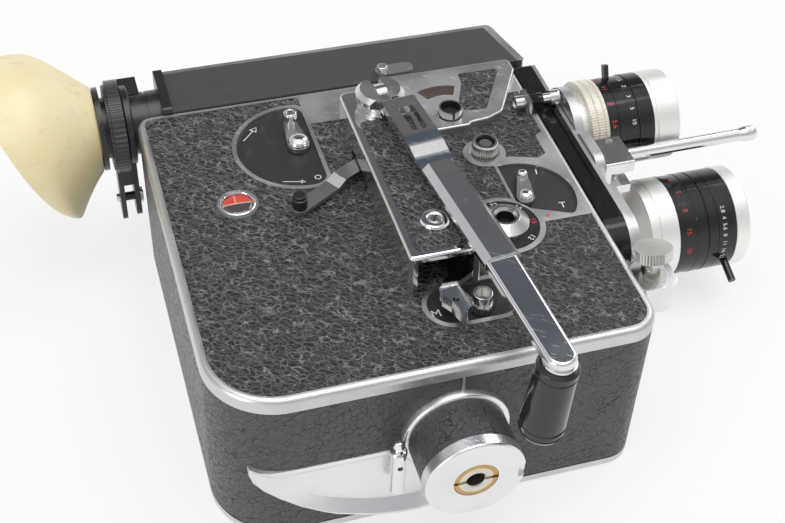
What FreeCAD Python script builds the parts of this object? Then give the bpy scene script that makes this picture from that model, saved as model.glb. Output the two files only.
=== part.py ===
import FreeCAD, Part
import math
import os

from FreeCAD import Vector

# A spring-wound movie camera that lies on its film door, with the control side up.
# X runs towards the lenses, Y towards the finder, Z out of the control side.
# The origin is the centre of the film door's outer face. All lengths are millimetres.

# Body: a long casting, closed by the film door below and the control cover above
BODY_HALF_X = 76.0
BODY_HALF_Y = 76.6
REAR_BASE_RADIUS = 25.0
FRONT_BASE_RADIUS = 11.0
FRONT_TOP_RADIUS = 4.0
REAR_TOP_RADIUS = 6.0
SMALLEST_RADIUS = 0.5
DOOR_TOP = 4.0
PARTITION_BOTTOM = 38.5
PARTITION_TOP = 41.0
CASTING_TOP = 65.4
COVER_CEILING = 68.0
FACE_TOP = 70.9
COVER_EDGE_RADIUS = 2.2
LEATHER = 0.8
WALL_INSET = 3.5
SEAM_X = 5.7

# Leather and dial plates let into the control side
LEATHER_FLOOR = 69.9
LEATHER_TOP = 70.7
LEATHER_INSET = 2.8
DIAL_FLOOR = 69.0
DIAL_TOP = 69.6
LEVER_FLOOR = 70.0
SHAFT_END = 66.0

# Running clearance on the radius of every shaft
FIT = 0.05

# Controls
COUNTER_X, COUNTER_Y = 40.3, 45.2
COUNTER_PLATE_TOP = 74.0
COUNTER_DIAL_RADIUS = 18.6
FRAME_X, FRAME_Y = 47.0, 23.4
SPEED_X, SPEED_Y = 40.5, -16.7
MOTOR_X, MOTOR_Y = -19.5, 45.0
MODE_X, MODE_Y = 53.0, -4.8
MODE_PIN_X, MODE_PIN_Y = 56.0, 7.0
REWIND_X, REWIND_Y = 19.5, -52.8
WINDOW_X, WINDOW_Y = -48.3, 18.3
RELEASE_Y, RELEASE_Z = 45.5, 74.0

# Fader housing and its two levers
FADER_TOP = 87.0
FADER_CEILING = 84.5
FADER_WALL = 3.0
FADER_LEFT, FADER_RIGHT = -2.5, 23.0
FADER_NEAR, FADER_FAR = -41.0, 52.0
FADER_LEVER_X, FADER_LEVER_Y = 7.0, 28.0
FADER_PIN_X, FADER_PIN_Y = -28.0, 7.5
FADER_LEVER_TURN = 32.0
CLAW_X, CLAW_Y = 11.0, -25.0

# Winding crank: its own directions are along the arm, across it, and Z
HUB_X, HUB_Y = 10.6, 40.9
HUB_FLAT = 6.4
CRANK_ANGLE = -83.86
CRANK_OFFSET = 3.6
CRANK_HIGH = 95.0
HINGE_Z = 91.8
HINGE_PIN = 7.4
KNUCKLE_RADIUS = 4.0
ARM_START = 7.3
ARM_WIDTH = 13.0
SLEEVE_START, SLEEVE_END = 45.7, 96.2
SLEEVE_LOW, SLEEVE_BEVEL = 91.2, 2.3
BAR_OFFSET = 2.8
BAR_START_HALF, BAR_END_HALF = 5.5, 5.0
BAR_LOW, BAR_HIGH = 91.0, 94.4
HANDLE_REACH, HANDLE_OFFSET = 140.4, 1.4
HANDLE_LOW, HANDLE_TOP = 59.2, 89.9
HANDLE_LEAN = 5.5

# Finder, eyepiece and eyecup
FINDER_BOTTOM = 45.0
FINDER_REAR = -61.5
FINDER_EDGE = 101.5
EYE_Y, EYE_Z = 89.0, 58.5
EYECUP_WALL = 1.8

# Front, turret and lenses
FRONT_X = 84.0
PLATE_X = 85.5
TURRET_Y, TURRET_Z = 34.7, 35.5
TURRET_BACK, TURRET_FACE = 85.8, 89.5
PORT_CIRCLE = 26.0
WIDE_ANGLE, LONG_ANGLE, OPEN_ANGLE = 75.0, 195.0, -45.0
LEVER_PIVOT_X, LEVER_Y, LEVER_Z = 96.0, 19.0, 62.0
SHUTTER_Y, SHUTTER_Z = 30.0, 36.0

# Turret clamp screw, which leans back from the top of its knob
CLAMP_X, CLAMP_Y, CLAMP_TOP = 85.4, -43.5, 74.0
CLAMP_LEAN = 17.0

# Tripod boss on the base
BOSS_X, BOSS_Z = 4.0, 40.5
BASE_Y = -75.8
BOSS_END = -99.1

# Film path
GATE_X = 66.0
SUPPLY = (-4.0, 30.0)
TAKEUP = (-34.0, -30.0)
UPPER_SPROCKET = (44.0, 36.0)
LOWER_SPROCKET = (44.0, -18.0)
LOCK_X, LOCK_Y = -38.0, 0.0


def outline(points):
    """Closed flat wire through (x, y) or (x, y, corner radius) points."""
    corners = []
    for number, here in enumerate(points):
        corner = Vector(here[0], here[1], 0)
        if len(here) < 3:
            corners.append((corner, corner, corner))
            continue
        before = points[number - 1]
        after = points[(number + 1) % len(points)]
        backward = (Vector(before[0], before[1], 0) - corner).normalize()
        forward = (Vector(after[0], after[1], 0) - corner).normalize()
        half = backward.getAngle(forward) / 2
        start = corner + backward * (here[2] / math.tan(half))
        end = corner + forward * (here[2] / math.tan(half))
        inward = (backward + forward).normalize()
        middle = corner + inward * (here[2] / math.sin(half) - here[2])
        corners.append((start, middle, end))
    edges = []
    for number, (start, middle, end) in enumerate(corners):
        if (end - start).Length > 0.0001:
            edges.append(Part.Arc(start, middle, end).toShape())
        following = corners[(number + 1) % len(corners)][0]
        if (following - end).Length > 0.0001:
            edges.append(Part.LineSegment(end, following).toShape())
    return Part.Wire(edges)


def prism(points, low, high):
    """Upright prism between two heights."""
    solid = Part.Face(outline(points)).extrude(Vector(0, 0, high - low))
    solid.translate(Vector(0, 0, low))
    return solid


def prism_x(points, low, high):
    """Prism along X; its points are (y, z)."""
    solid = prism(points, low, high)
    solid.rotate(Vector(0, 0, 0), Vector(1, 1, 1), 120)
    return solid


def prism_y(points, low, high):
    """Prism along Y; its points are (x, z)."""
    solid = prism(points, -high, -low)
    solid.rotate(Vector(0, 0, 0), Vector(1, 0, 0), 90)
    return solid


def turned_y(profile, x, z):
    """Body of revolution along Y; profile points are (radius, y)."""
    solid = Part.Face(outline(profile)).revolve(Vector(0, 0, 0), Vector(0, 1, 0), 360)
    solid.translate(Vector(x, 0, z))
    return solid


def turned_x(profile, y, z):
    """Body of revolution along X; profile points are (radius, x)."""
    solid = turned_y(profile, 0, 0)
    solid.rotate(Vector(0, 0, 0), Vector(0, 0, 1), -90)
    solid.translate(Vector(0, y, z))
    return solid


def turned_z(profile, x, y):
    """Body of revolution along Z; profile points are (radius, z)."""
    solid = turned_y(profile, 0, 0)
    solid.rotate(Vector(0, 0, 0), Vector(1, 0, 0), 90)
    solid.translate(Vector(x, y, 0))
    return solid


def rod_x(y, z, radius, low, high):
    return Part.makeCylinder(radius, high - low, Vector(low, y, z), Vector(1, 0, 0))


def rod_y(x, z, radius, low, high):
    return Part.makeCylinder(radius, high - low, Vector(x, low, z), Vector(0, 1, 0))


def rod_z(x, y, radius, low, high):
    return Part.makeCylinder(radius, high - low, Vector(x, y, low))


def box(x, y, z):
    """Box from three (low, high) pairs."""
    size = [pair[1] - pair[0] for pair in (x, y, z)]
    return Part.makeBox(size[0], size[1], size[2], Vector(x[0], y[0], z[0]))


def knurled_z(x, y, radius, depth, count, low, high):
    """Knob with straight V grooves round its edge."""
    points = []
    for number in range(2 * count):
        reach = radius if number % 2 == 0 else radius - depth
        angle = math.pi * number / count
        points.append((x + reach * math.cos(angle), y + reach * math.sin(angle)))
    return prism(points, low, high)


def strap(points, width, low, high):
    """Flat bar with round ends that follows a line of (x, y) points."""
    pieces = [rod_z(x, y, width / 2, low, high) for x, y in points]
    for first, second in zip(points, points[1:]):
        along = Vector(second[0] - first[0], second[1] - first[1], 0)
        bar = box((0, along.Length), (-width / 2, width / 2), (low, high))
        bar.rotate(Vector(0, 0, 0), Vector(0, 0, 1), math.degrees(math.atan2(along.y, along.x)))
        bar.translate(Vector(first[0], first[1], 0))
        pieces.append(bar)
    return joined(pieces)


def tapered_bar(first, second, low, high):
    """Flat bar that narrows between two round ends, each (x, y, radius)."""
    along = Vector(second[0] - first[0], second[1] - first[1], 0).normalize()
    points = []
    for (x, y, radius), side in ((first, -1), (second, -1), (second, 1), (first, 1)):
        points.append((x - side * radius * along.y, y + side * radius * along.x))
    ends = [rod_z(x, y, radius, low, high) for x, y, radius in (first, second)]
    return joined([prism(points, low, high)] + ends)


def joined(pieces):
    """One clean solid out of pieces that touch or overlap."""
    return pieces[0].multiFuse(pieces[1:]).removeSplitter()


def level_edges(shape, height):
    """Edges that lie flat at one height."""
    found = []
    for edge in shape.Edges:
        bounds = edge.BoundBox
        if abs(bounds.ZMin - height) < 0.01 and abs(bounds.ZMax - height) < 0.01:
            found.append(edge)
    return found


def upright_edges(shape, x):
    """Edges along Z that stand at one x."""
    found = []
    for edge in shape.Edges:
        bounds = edge.BoundBox
        if bounds.ZLength > 0.1 and abs(bounds.XMin - x) < 0.01 and abs(bounds.XMax - x) < 0.01:
            found.append(edge)
    return found


def body_outline(inset):
    corners = (
        (-BODY_HALF_X, -BODY_HALF_Y, REAR_BASE_RADIUS),
        (BODY_HALF_X, -BODY_HALF_Y, FRONT_BASE_RADIUS),
        (BODY_HALF_X, BODY_HALF_Y, FRONT_TOP_RADIUS),
        (-BODY_HALF_X, BODY_HALF_Y, REAR_TOP_RADIUS),
    )
    points = []
    for x, y, radius in corners:
        inner_x = x - math.copysign(inset, x)
        inner_y = y - math.copysign(inset, y)
        points.append((inner_x, inner_y, max(radius - inset, SMALLEST_RADIUS)))
    return points


def port(angle):
    """Centre (y, z) of a lens place on the turret."""
    turn = math.radians(angle)
    return TURRET_Y + PORT_CIRCLE * math.cos(turn), TURRET_Z + PORT_CIRCLE * math.sin(turn)


WIDE_Y, WIDE_Z = port(WIDE_ANGLE)
LONG_Y, LONG_Z = port(LONG_ANGLE)
OPEN_Y, OPEN_Z = port(OPEN_ANGLE)
LIGHT_RADIUS = 9.0


def motor_sector(radius, flat, low, high):
    """Round plate of the motor lever with one flat side."""
    disc = rod_z(MOTOR_X, MOTOR_Y, radius, low, high)
    plate = disc.common(box((-60, flat), (0, 90), (low, high)))
    return plate.makeFillet(5, upright_edges(plate, flat))


def mode_sector(inset, low, high):
    """Fan-shaped recess of the mode lever."""
    disc = rod_z(52.5, -4.5, 19.3 - inset, low, high)
    limits = [
        (49 + inset, 20), (80, 20), (80, -17.5 + inset),
        (68, -17.5 + inset), (52.9, -10.6 + inset, 2), (49 + inset, -5.4, 2),
    ]
    plate = disc.common(prism(limits, low, high))
    front = [edge for edge in plate.Edges
             if edge.BoundBox.ZLength > 0.1 and edge.BoundBox.XMin > 66 and edge.BoundBox.YMax < -14]
    return plate.makeFillet(2, front)


def rewind_stadium(radius, low, high):
    """Long recess of the rewind shaft, with half-round ends."""
    left, right, middle = 10.3, 25.0, -49.3
    points = [
        (left - radius, middle - radius, radius), (right + radius, middle - radius, radius),
        (right + radius, middle + radius, radius), (left - radius, middle + radius, radius),
    ]
    return prism(points, low, high)


def counter_plate(low, high):
    """Raised plate round the footage counter."""
    points = [
        (23.3, 37.2, 1.5), (45.6, 37.5, 1.5), (47.2, 38.9, 1), (54, 39.6, 3), (61, 42.6, 4),
        (74.5, 67, 3), (74.5, 74.3, 2), (23.3, 74.3, 1.5),
    ]
    return prism(points, low, high)


def finder_leather(inset, low, high):
    """Leather let into the raised plate beside the counter window."""
    points = [
        (46.6 + inset, 45.6 + inset, 1.5), (55.2, 45.1 + inset, 1.2), (68.3 - inset, 68.7 - inset, 1.5),
        (51.4 + inset, 69.2 - inset, 1), (50.8 + inset, 62.8, 0.5), (46.1 + inset, 52, 1.5),
    ]
    return prism(points, low, high)


def face_leather(low, high):
    """Leather sheet of the control side, with an opening for each control."""
    mode_area = [
        (47.8, 17, 2), (55, 19, 3), (66, 15.5, 2), (69.3, 17.5, 1), (69.3, 28.5, 1),
        (72.5, 30, 1), (72.5, 80), (80, 80), (80, -18.5), (48, -18.5),
    ]
    islands = [
        box((-13.1, 80), (56.4, 80), (low, high)),
        counter_plate(low, high),
        motor_sector(25.0, -12.0, low, high),
        rod_z(WINDOW_X, WINDOW_Y, 7.45, low, high),
        rewind_stadium(10.3, low, high),
        rod_z(FRAME_X, FRAME_Y, 8.1, low, high),
        rod_z(SPEED_X, SPEED_Y, 14.8, low, high),
        prism(mode_area, low, high),
    ]
    return prism(body_outline(LEATHER_INSET), low, high).cut(islands)


def fader_leather(inset, low, high):
    left = FADER_LEFT + FADER_WALL + inset
    right = FADER_RIGHT - FADER_WALL - inset
    points = [
        (left, -38.5 + inset, 2), (right, -38.5 + inset, 2),
        (right, 33 - inset, 2), (left, 33 - inset, 2),
    ]
    sheet = prism(points, low, high)
    return sheet.cut(rod_z(CLAW_X, CLAW_Y, 4 + inset, low, high))


def body_casting():
    shell = prism(body_outline(LEATHER), DOOR_TOP, CASTING_TOP)
    film_chamber = prism(body_outline(WALL_INSET), DOOR_TOP, PARTITION_BOTTOM)
    motor_room = prism(body_outline(WALL_INSET), PARTITION_TOP, CASTING_TOP)
    holes = [
        film_chamber,
        motor_room,
        rod_x(LONG_Y, LONG_Z, LIGHT_RADIUS, 70, 80),
        rod_x(SHUTTER_Y, SHUTTER_Z, 2.5 + FIT, 70, 80),
    ]
    for x, y in (SUPPLY, TAKEUP, UPPER_SPROCKET, LOWER_SPROCKET):
        holes.append(rod_z(x, y, 3 + FIT, PARTITION_BOTTOM, PARTITION_TOP))
    seam = box((SEAM_X - 0.45, SEAM_X + 0.45), (-76.9, -75.5), (4.6, 65.2))
    seam = seam.cut(rod_y(BOSS_X, BOSS_Z, 18.9, -80, BASE_Y))
    return joined([shell.cut(holes), seam])


def control_cover():
    cover = prism(body_outline(0), CASTING_TOP, FACE_TOP)
    cover = cover.makeFillet(COVER_EDGE_RADIUS, level_edges(cover, FACE_TOP))
    plate = counter_plate(69.5, COUNTER_PLATE_TOP)
    plate = plate.makeFillet(0.7, level_edges(plate, COUNTER_PLATE_TOP))
    cover = joined([cover, plate])
    above = 76
    window = turned_z([(12.2, 60), (18.3, 60), (18.3, above), (12.2, above)], 0, 0)
    right, left = math.radians(66), math.radians(117)
    wedge = prism([(0, 0), (30 * math.cos(right), 30 * math.sin(right)),
                   (30 * math.cos(left), 30 * math.sin(left))], 60, above)
    window = window.common(wedge)
    window.translate(Vector(COUNTER_X, COUNTER_Y, 0))
    cuts = [
        prism(body_outline(WALL_INSET), CASTING_TOP, COVER_CEILING),
        rod_z(COUNTER_X, COUNTER_Y, 19, 67, 69),
        window,
        rod_z(COUNTER_X, COUNTER_Y, 4.8, 71.5, above),
        rod_z(COUNTER_X, COUNTER_Y, 2 + FIT, 60, above),
        face_leather(LEATHER_FLOOR, above),
        finder_leather(0, COUNTER_PLATE_TOP - 0.9, above),
        motor_sector(23.3, -13.5, DIAL_FLOOR, above),
        mode_sector(0, DIAL_FLOOR, above),
        rewind_stadium(8.6, DIAL_FLOOR, above),
        rod_z(WINDOW_X, WINDOW_Y, 5.6, 69.2, above),
        rod_z(FRAME_X, FRAME_Y, 5.8, DIAL_TOP, above),
        rod_z(SPEED_X, SPEED_Y, 12.8, DIAL_TOP, above),
        rod_z(HUB_X, HUB_Y, 3 + FIT, 60, above),
        rod_z(SPEED_X, SPEED_Y, 3 + FIT, 60, above),
    ]
    for x, y in ((FRAME_X, FRAME_Y), (MOTOR_X, MOTOR_Y), (MODE_X, MODE_Y), (REWIND_X, REWIND_Y)):
        cuts.append(rod_z(x, y, 2 + FIT, 60, above))
    return cover.cut(cuts)


def leather_inlays():
    pieces = [
        face_leather(LEATHER_FLOOR, LEATHER_TOP),
        finder_leather(0.1, COUNTER_PLATE_TOP - 0.9, COUNTER_PLATE_TOP - 0.1),
        fader_leather(0.1, FADER_TOP - 0.9, FADER_TOP - 0.1),
    ]
    return Part.makeCompound([pieces[0].cut(rod_z(HUB_X, HUB_Y, 3.5, 60, 80)), pieces[1], pieces[2]])


def foot_print(low, high):
    """Outline of the foot, from its rear tip to the round collar."""
    points = [
        (-66.5, 46.5, 1), (-53, 42.3, 6), (-20, 39.7, 8), (-8, 39), (-8, 8),
        (-20, 8.5, 6), (-50, 19, 18), (-64.5, 37, 8),
    ]
    return prism_y(points, low, high)


def wall_leather():
    low, high = 4.6, 65.2
    skin = prism(body_outline(0), low, high).cut(prism(body_outline(LEATHER), low, high))
    cuts = [
        box((-80, 80), (70, 80), (low, high)),
        box((60, 80), (-45, 80), (low, high)),
        box((SEAM_X - 0.45, SEAM_X + 0.45), (-80, -70), (low, high)),
        foot_print(-80, -70),
        rod_y(BOSS_X, BOSS_Z, 18.9, -80, -70),
    ]
    return skin.cut(cuts)


def motor_dial_plate():
    plate = motor_sector(23.2, -13.6, DIAL_FLOOR, DIAL_TOP)
    return plate.cut(rod_z(MOTOR_X, MOTOR_Y, 2 + FIT, 60, 80))


def mode_dial_plate():
    plate = mode_sector(0.1, DIAL_FLOOR, DIAL_TOP)
    return plate.cut(rod_z(MODE_X, MODE_Y, 2 + FIT, 60, 80))


def rewind_dial_plate():
    plate = rewind_stadium(8.5, DIAL_FLOOR, DIAL_TOP)
    return plate.cut(rod_z(REWIND_X, REWIND_Y, 2 + FIT, 60, 80))


def indicator_window():
    return turned_z([(0, 69.2), (5.5, 69.2), (5.5, 70.2), (4.5, 70.7), (0, 70.9)], WINDOW_X, WINDOW_Y)


def fader_housing():
    footing = [
        (FADER_LEFT, FADER_NEAR, 1.5), (FADER_RIGHT, FADER_NEAR, 1.5),
        (FADER_RIGHT, FADER_FAR, 12), (FADER_LEFT, FADER_FAR, 3),
    ]
    shell = prism(footing, LEATHER_TOP, FADER_TOP)
    shell = shell.makeFillet(1.2, level_edges(shell, FADER_TOP))
    inner = (FADER_LEFT + FADER_WALL, FADER_RIGHT - FADER_WALL)
    cuts = [
        box(inner, (FADER_NEAR - 2, 33), (60, FADER_CEILING)),
        box((-5, 1), (10, 31), (60, 77)),
        fader_leather(0, FADER_TOP - 0.9, 90),
        rod_z(HUB_X, HUB_Y, 3 + FIT, 60, 90),
        rewind_stadium(10.4, 60, FACE_TOP),
    ]
    shell = shell.cut(cuts)
    boss = rod_z(FADER_LEVER_X, FADER_LEVER_Y, 3.5, 76.2, FADER_CEILING)
    eyelet = rod_z(CLAW_X, CLAW_Y, 4, FADER_CEILING, FADER_TOP + 0.8)
    shell = joined([shell, boss, eyelet])
    return shell.cut([
        rod_z(FADER_LEVER_X, FADER_LEVER_Y, 2 + FIT, 74, FADER_CEILING - 1),
        rod_z(CLAW_X, CLAW_Y, 2 + FIT, FADER_CEILING - 1, 90),
    ])


def finder_box():
    points = [(FINDER_REAR, 75.8), (79.6, 75.8), (73.7, FINDER_EDGE), (FINDER_REAR, FINDER_EDGE)]
    shell = prism(points, FINDER_BOTTOM, FACE_TOP)
    slot = prism([(22.4, 80.6, 1), (34.4, 80.6, 1), (34.4, 83, 1), (22.4, 83, 1)], 68.5, 72)
    return shell.cut([prism(body_outline(0), CASTING_TOP, 72), slot])


def finder_strip():
    points = [
        (FINDER_REAR, FINDER_EDGE), (73.7, FINDER_EDGE), (79.6, 75.9), (82.7, 75.9, 1),
        (76.6, 103.3, 3), (FINDER_REAR, 103.3),
    ]
    return prism(points, FINDER_BOTTOM, FACE_TOP)


def eyepiece_tube():
    end_plate = prism_x([(76.9, 45, 2), (104.5, 45, 4), (104.5, 72.2, 2), (76.9, 72.2, 2)], -65, -61.5)
    lug = box((-79.6, -72.2), (92, 103.5), (60, 70.5))
    profile = [
        (0, -90), (16.4, -90), (16.4, -88), (12, -88), (12, -80), (15.6, -80, 0.8),
        (15.6, -76.8, 0.8), (12.1, -76.8), (12.1, -70.8), (11.6, -70.8), (11.6, -70),
        (12.1, -70), (12.1, -65), (0, -65),
    ]
    tube = turned_x(profile, EYE_Y, EYE_Z)
    return joined([end_plate, tube, lug]).cut(rod_x(EYE_Y, EYE_Z, 9, -90, -87))


def eyepiece_clamp():
    """Two ears below the tube, the bridge between them and the screw that draws them together."""
    near_ear = prism_x([(83.5, 14, 4), (94.5, 14, 4), (94.5, 46), (83.5, 46)], -79.4, -77.2)
    near_ear = near_ear.cut(rod_x(EYE_Y, EYE_Z, 15.65, -81, -76.5))
    far_ear = prism_x([(84, 12, 4.5), (94, 12, 4.5), (94, 38.8), (84, 38.8)], -85.2, -83.2)
    bridge = box((-83.2, -79.4), (85, 93), (31, 38.8))
    screw = rod_x(EYE_Y, 22, 1.8, -86.5, -75.6)
    nut = rod_x(EYE_Y, 22, 3.4, -77.2, -75.9)
    return joined([near_ear, far_ear, bridge, screw, nut])


def cup_section(x, slope, radius):
    """Round outline of the eyecup in a plane that leans back as it rises."""
    stretch = math.sqrt(1 + slope * slope)
    tilt = math.atan(slope)
    spots = []
    for number in range(8):
        angle = math.pi * number / 4
        side = radius * math.cos(angle)
        rise = radius * stretch * math.sin(angle)
        spots.append(Vector(x - rise * math.sin(tilt), EYE_Y + side, EYE_Z + rise * math.cos(tilt)))
    arcs = []
    for start in (0, 2, 4, 6):
        arcs.append(Part.Arc(spots[start], spots[start + 1], spots[(start + 2) % 8]).toShape())
    return Part.Wire(arcs)


def cup_form(shrink, first, last):
    """Flared neck, round shoulder and slanted mouth of the eyecup."""
    sections = [
        (first, 0.0, 16.6), (-97.5, 0.08, 23.4), (-104.5, 0.16, 31.2),
        (-108.5, 0.24, 33.3), (-112.5, 0.34, 33.0), (last, 0.46, 31.2),
    ]
    wires = [cup_section(x, slope, radius - shrink) for x, slope, radius in sections]
    return Part.makeLoft(wires, True, False)


def eyecup():
    hollow = cup_form(EYECUP_WALL, -92.0, -118.2)
    sight = rod_x(EYE_Y, EYE_Z, 9.5, -93, -89)
    return cup_form(0, -90.0, -117.4).cut([hollow, sight])


def front_outline():
    return [(-34, 4, 14), (74, 4, 3), (74, 70.5, 3), (-34, 70.5, 14)]


def front_housing():
    housing = prism_x(front_outline(), BODY_HALF_X, FRONT_X)
    seat = box((75.2, 76), (-30, 72), (4, CASTING_TOP))
    groove = prism([(78, -2, 1.9), (82, -2, 1.9), (82, 48, 1.9), (78, 48, 1.9)], 69.4, 72)
    cuts = [
        rod_x(SHUTTER_Y, SHUTTER_Z, 30, 77, 82.5),
        rod_x(SHUTTER_Y, SHUTTER_Z, 2.5 + FIT, 70, 78),
        rod_x(LONG_Y, LONG_Z, LIGHT_RADIUS, 70, 90),
        rod_x(TURRET_Y, TURRET_Z, 4 + FIT, 82.5, 90),
        groove,
    ]
    return joined([housing, seat]).cut(cuts)


def front_plate():
    plate = prism_x(front_outline(), FRONT_X, PLATE_X)
    pad = prism_x([(-31, 6, 11), (30, 6), (30, 68.5), (-31, 68.5, 11)], PLATE_X, 89)
    pad = pad.cut(rod_x(TURRET_Y, TURRET_Z, 50, 80, 95))
    cuts = [
        rod_x(LONG_Y, LONG_Z, LIGHT_RADIUS, 80, 90),
        rod_x(TURRET_Y, TURRET_Z, 4 + FIT, 80, 90),
    ]
    return joined([plate, pad]).cut(cuts)


def leaning_back(shape):
    """Tilts a piece of the turret clamp, drawn upright, to the clamp's lean."""
    shape.rotate(Vector(CLAMP_X, CLAMP_Y, CLAMP_TOP), Vector(1, 0, 0), -CLAMP_LEAN)
    return shape


def clamp_bracket():
    foot = prism_x([(-57, 40, 3), (-38, 40, 3), (-38, 66, 3), (-57, 66, 3)], 76, 79)
    lug = prism([(78, -56, 1), (92, -56, 4), (92, -41, 4), (78, -41, 1)], 54, 66)
    return joined([foot, lug]).cut(leaning_back(rod_z(CLAMP_X, CLAMP_Y, 2.5 + FIT, 45, 80)))


def clamp_screw():
    knob = knurled_z(CLAMP_X, CLAMP_Y, 7.1, 0.5, 40, 70, CLAMP_TOP)
    profile = [(0, 57.5), (2.5, 57.5, 0.6), (2.5, 67.3), (3.6, 67.3), (3.6, 70), (0, 70)]
    return leaning_back(joined([knob, turned_z(profile, CLAMP_X, CLAMP_Y)]))


def release_block():
    """Small block with the sleeve that guides the release plunger."""
    block = prism([(70.2, 41, 1.2), (76, 41, 1.2), (76, 50, 1.2), (70.2, 50, 1.2)], FACE_TOP, 76.6)
    sleeve = rod_x(RELEASE_Y, RELEASE_Z, 2.7, 66.8, 78)
    return joined([block, sleeve]).cut(rod_x(RELEASE_Y, RELEASE_Z, 2 + FIT, 60, 80))


def release_plunger():
    profile = [(0, 67.2), (2, 67.2, 0.6), (2, 81.1), (3, 81.1), (3, 85.3, 1), (0, 85.3)]
    return turned_x(profile, RELEASE_Y, RELEASE_Z)


def boss_leather():
    sleeve = rod_y(BOSS_X, BOSS_Z, 17, -94, -79.5)
    return sleeve.cut(rod_y(BOSS_X, BOSS_Z, 7.7, -94, -88))


def boss_cap():
    ring = turned_y([(7.7, BOSS_END), (17.3, BOSS_END, 1), (17.3, -94, 0.5), (7.7, -94)], BOSS_X, BOSS_Z)
    notch = box((BOSS_X + 14.5, BOSS_X + 18), (-100, -97.5), (BOSS_Z - 3, BOSS_Z + 3))
    return ring.cut(notch)


def tripod_bush():
    profile = [(3.2, -88), (7.7, -88), (7.7, BOSS_END, 0.5), (3.6, BOSS_END), (3.2, -98.7)]
    bush = turned_y(profile, BOSS_X, BOSS_Z)
    slot = box((BOSS_X - 9, BOSS_X + 9), (-99.5, -98.1), (BOSS_Z - 0.7, BOSS_Z + 0.7))
    return bush.cut(slot)


def base_foot():
    plate = foot_print(-79.2, BASE_Y)
    lip = foot_print(-81.6, -79.2)
    lip = lip.cut(lip_inside())
    collar = turned_y([(0, -79.5), (18.9, -79.5, 0.6), (18.9, BASE_Y), (0, BASE_Y)], BOSS_X, BOSS_Z)
    web = box((-18.2, -14.8), (-84, -78), (26, 45.5))
    post = rod_z(-16.5, -84, 2.6, 24, 47)
    foot = joined([plate, lip.cut(rod_y(BOSS_X, BOSS_Z, 18.9, -82, -79)), collar, web, post])
    return foot.cut(rod_x(-84, 43.5, 0.9, -20, -13))


def lip_inside():
    """Hollow of the foot inside its raised rim."""
    points = [
        (-63.5, 43.3, 1), (-53, 40.6, 6), (-20, 38, 8), (-4, 37.3), (-4, 10),
        (-20, 10.3, 6), (-49, 20.7, 17), (-62.5, 37, 7),
    ]
    return prism_y(points, -82, -79.2)


def gate_plate():
    plate = prism_x([(-22, 7, 3), (40, 7, 3), (40, PARTITION_BOTTOM), (-22, PARTITION_BOTTOM)], GATE_X, 69)
    window = prism_x([(4.5, 25, 0.6), (14.8, 25, 0.6), (14.8, 32.5, 0.6), (4.5, 32.5, 0.6)], 60, 75)
    channel = box((GATE_X, GATE_X + 0.3), (-22, 40), (20.5, 36.8))
    return plate.cut([window, channel])


def film_door():
    plate = prism(body_outline(0), 0, DOOR_TOP)
    plate = plate.makeFillet(1.5, level_edges(plate, 0))
    rim = prism(body_outline(3.8), DOOR_TOP, 6.5).cut(prism(body_outline(5.3), DOOR_TOP, 6.5))
    cuts = [
        rod_z(LOCK_X, LOCK_Y, 14, 0, 2.5),
        rod_z(LOCK_X, LOCK_Y, 3 + FIT, 0, DOOR_TOP),
    ]
    return joined([plate, rim]).cut(cuts)


def door_lock():
    profile = [(0, 1.4), (12, 1.4, 0.4), (12, 2.4), (3, 2.4), (3, 5.9), (0, 5.9)]
    grip = prism([(LOCK_X - 11, LOCK_Y - 2, 1.5), (LOCK_X + 11, LOCK_Y - 2, 1.5),
                  (LOCK_X + 11, LOCK_Y + 2, 1.5), (LOCK_X - 11, LOCK_Y + 2, 1.5)], 0.3, 1.4)
    latch = box((LOCK_X - 14, LOCK_X + 14), (LOCK_Y - 4, LOCK_Y + 4), (4.3, 5.9))
    return joined([turned_z(profile, LOCK_X, LOCK_Y), grip, latch])


def pressure_plate():
    plate = prism_x([(-8, 19, 1), (28, 19, 1), (28, 37.8, 1), (-8, 37.8, 1)], 62.5, 65.6)
    arm = box((54.5, 62.5), (7.5, 12), (26, 31))
    return joined([plate, arm])


def sprocket(centre):
    """Film sprocket with one row of teeth and a driving shaft."""
    x, y = centre
    profile = [
        (0, 19), (9.3, 19, 0.5), (9.3, 21), (8.2, 21), (8.2, 24), (6.5, 25), (6.5, 31),
        (8.2, 32), (8.2, 37.6), (3, 37.6), (3, 42.2), (0, 42.2),
    ]
    teeth = []
    for number in range(8):
        tooth = prism([(7.8, -0.6), (9.5, -0.35), (9.5, 0.35), (7.8, 0.6)], 33.8, 35)
        tooth.rotate(Vector(0, 0, 0), Vector(0, 0, 1), number * 45)
        tooth.translate(Vector(x, y, 0))
        teeth.append(tooth)
    return joined([turned_z(profile, x, y)] + teeth)


def upper_sprocket():
    return sprocket(UPPER_SPROCKET)


def lower_sprocket():
    return sprocket(LOWER_SPROCKET)


def spindle(centre):
    """Spool spindle with its square key and seat."""
    x, y = centre
    profile = [
        (0, 12), (3.2, 12, 1), (4, 14), (4, 36), (8, 36), (8, 38.3), (3, 38.3), (3, 42.2), (0, 42.2),
    ]
    key = box((x - 3.9, x + 3.9), (y - 3.9, y + 3.9), (30, 36))
    return joined([turned_z(profile, x, y), key])


def supply_spindle():
    return spindle(SUPPLY)


def takeup_spindle():
    return spindle(TAKEUP)


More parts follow.
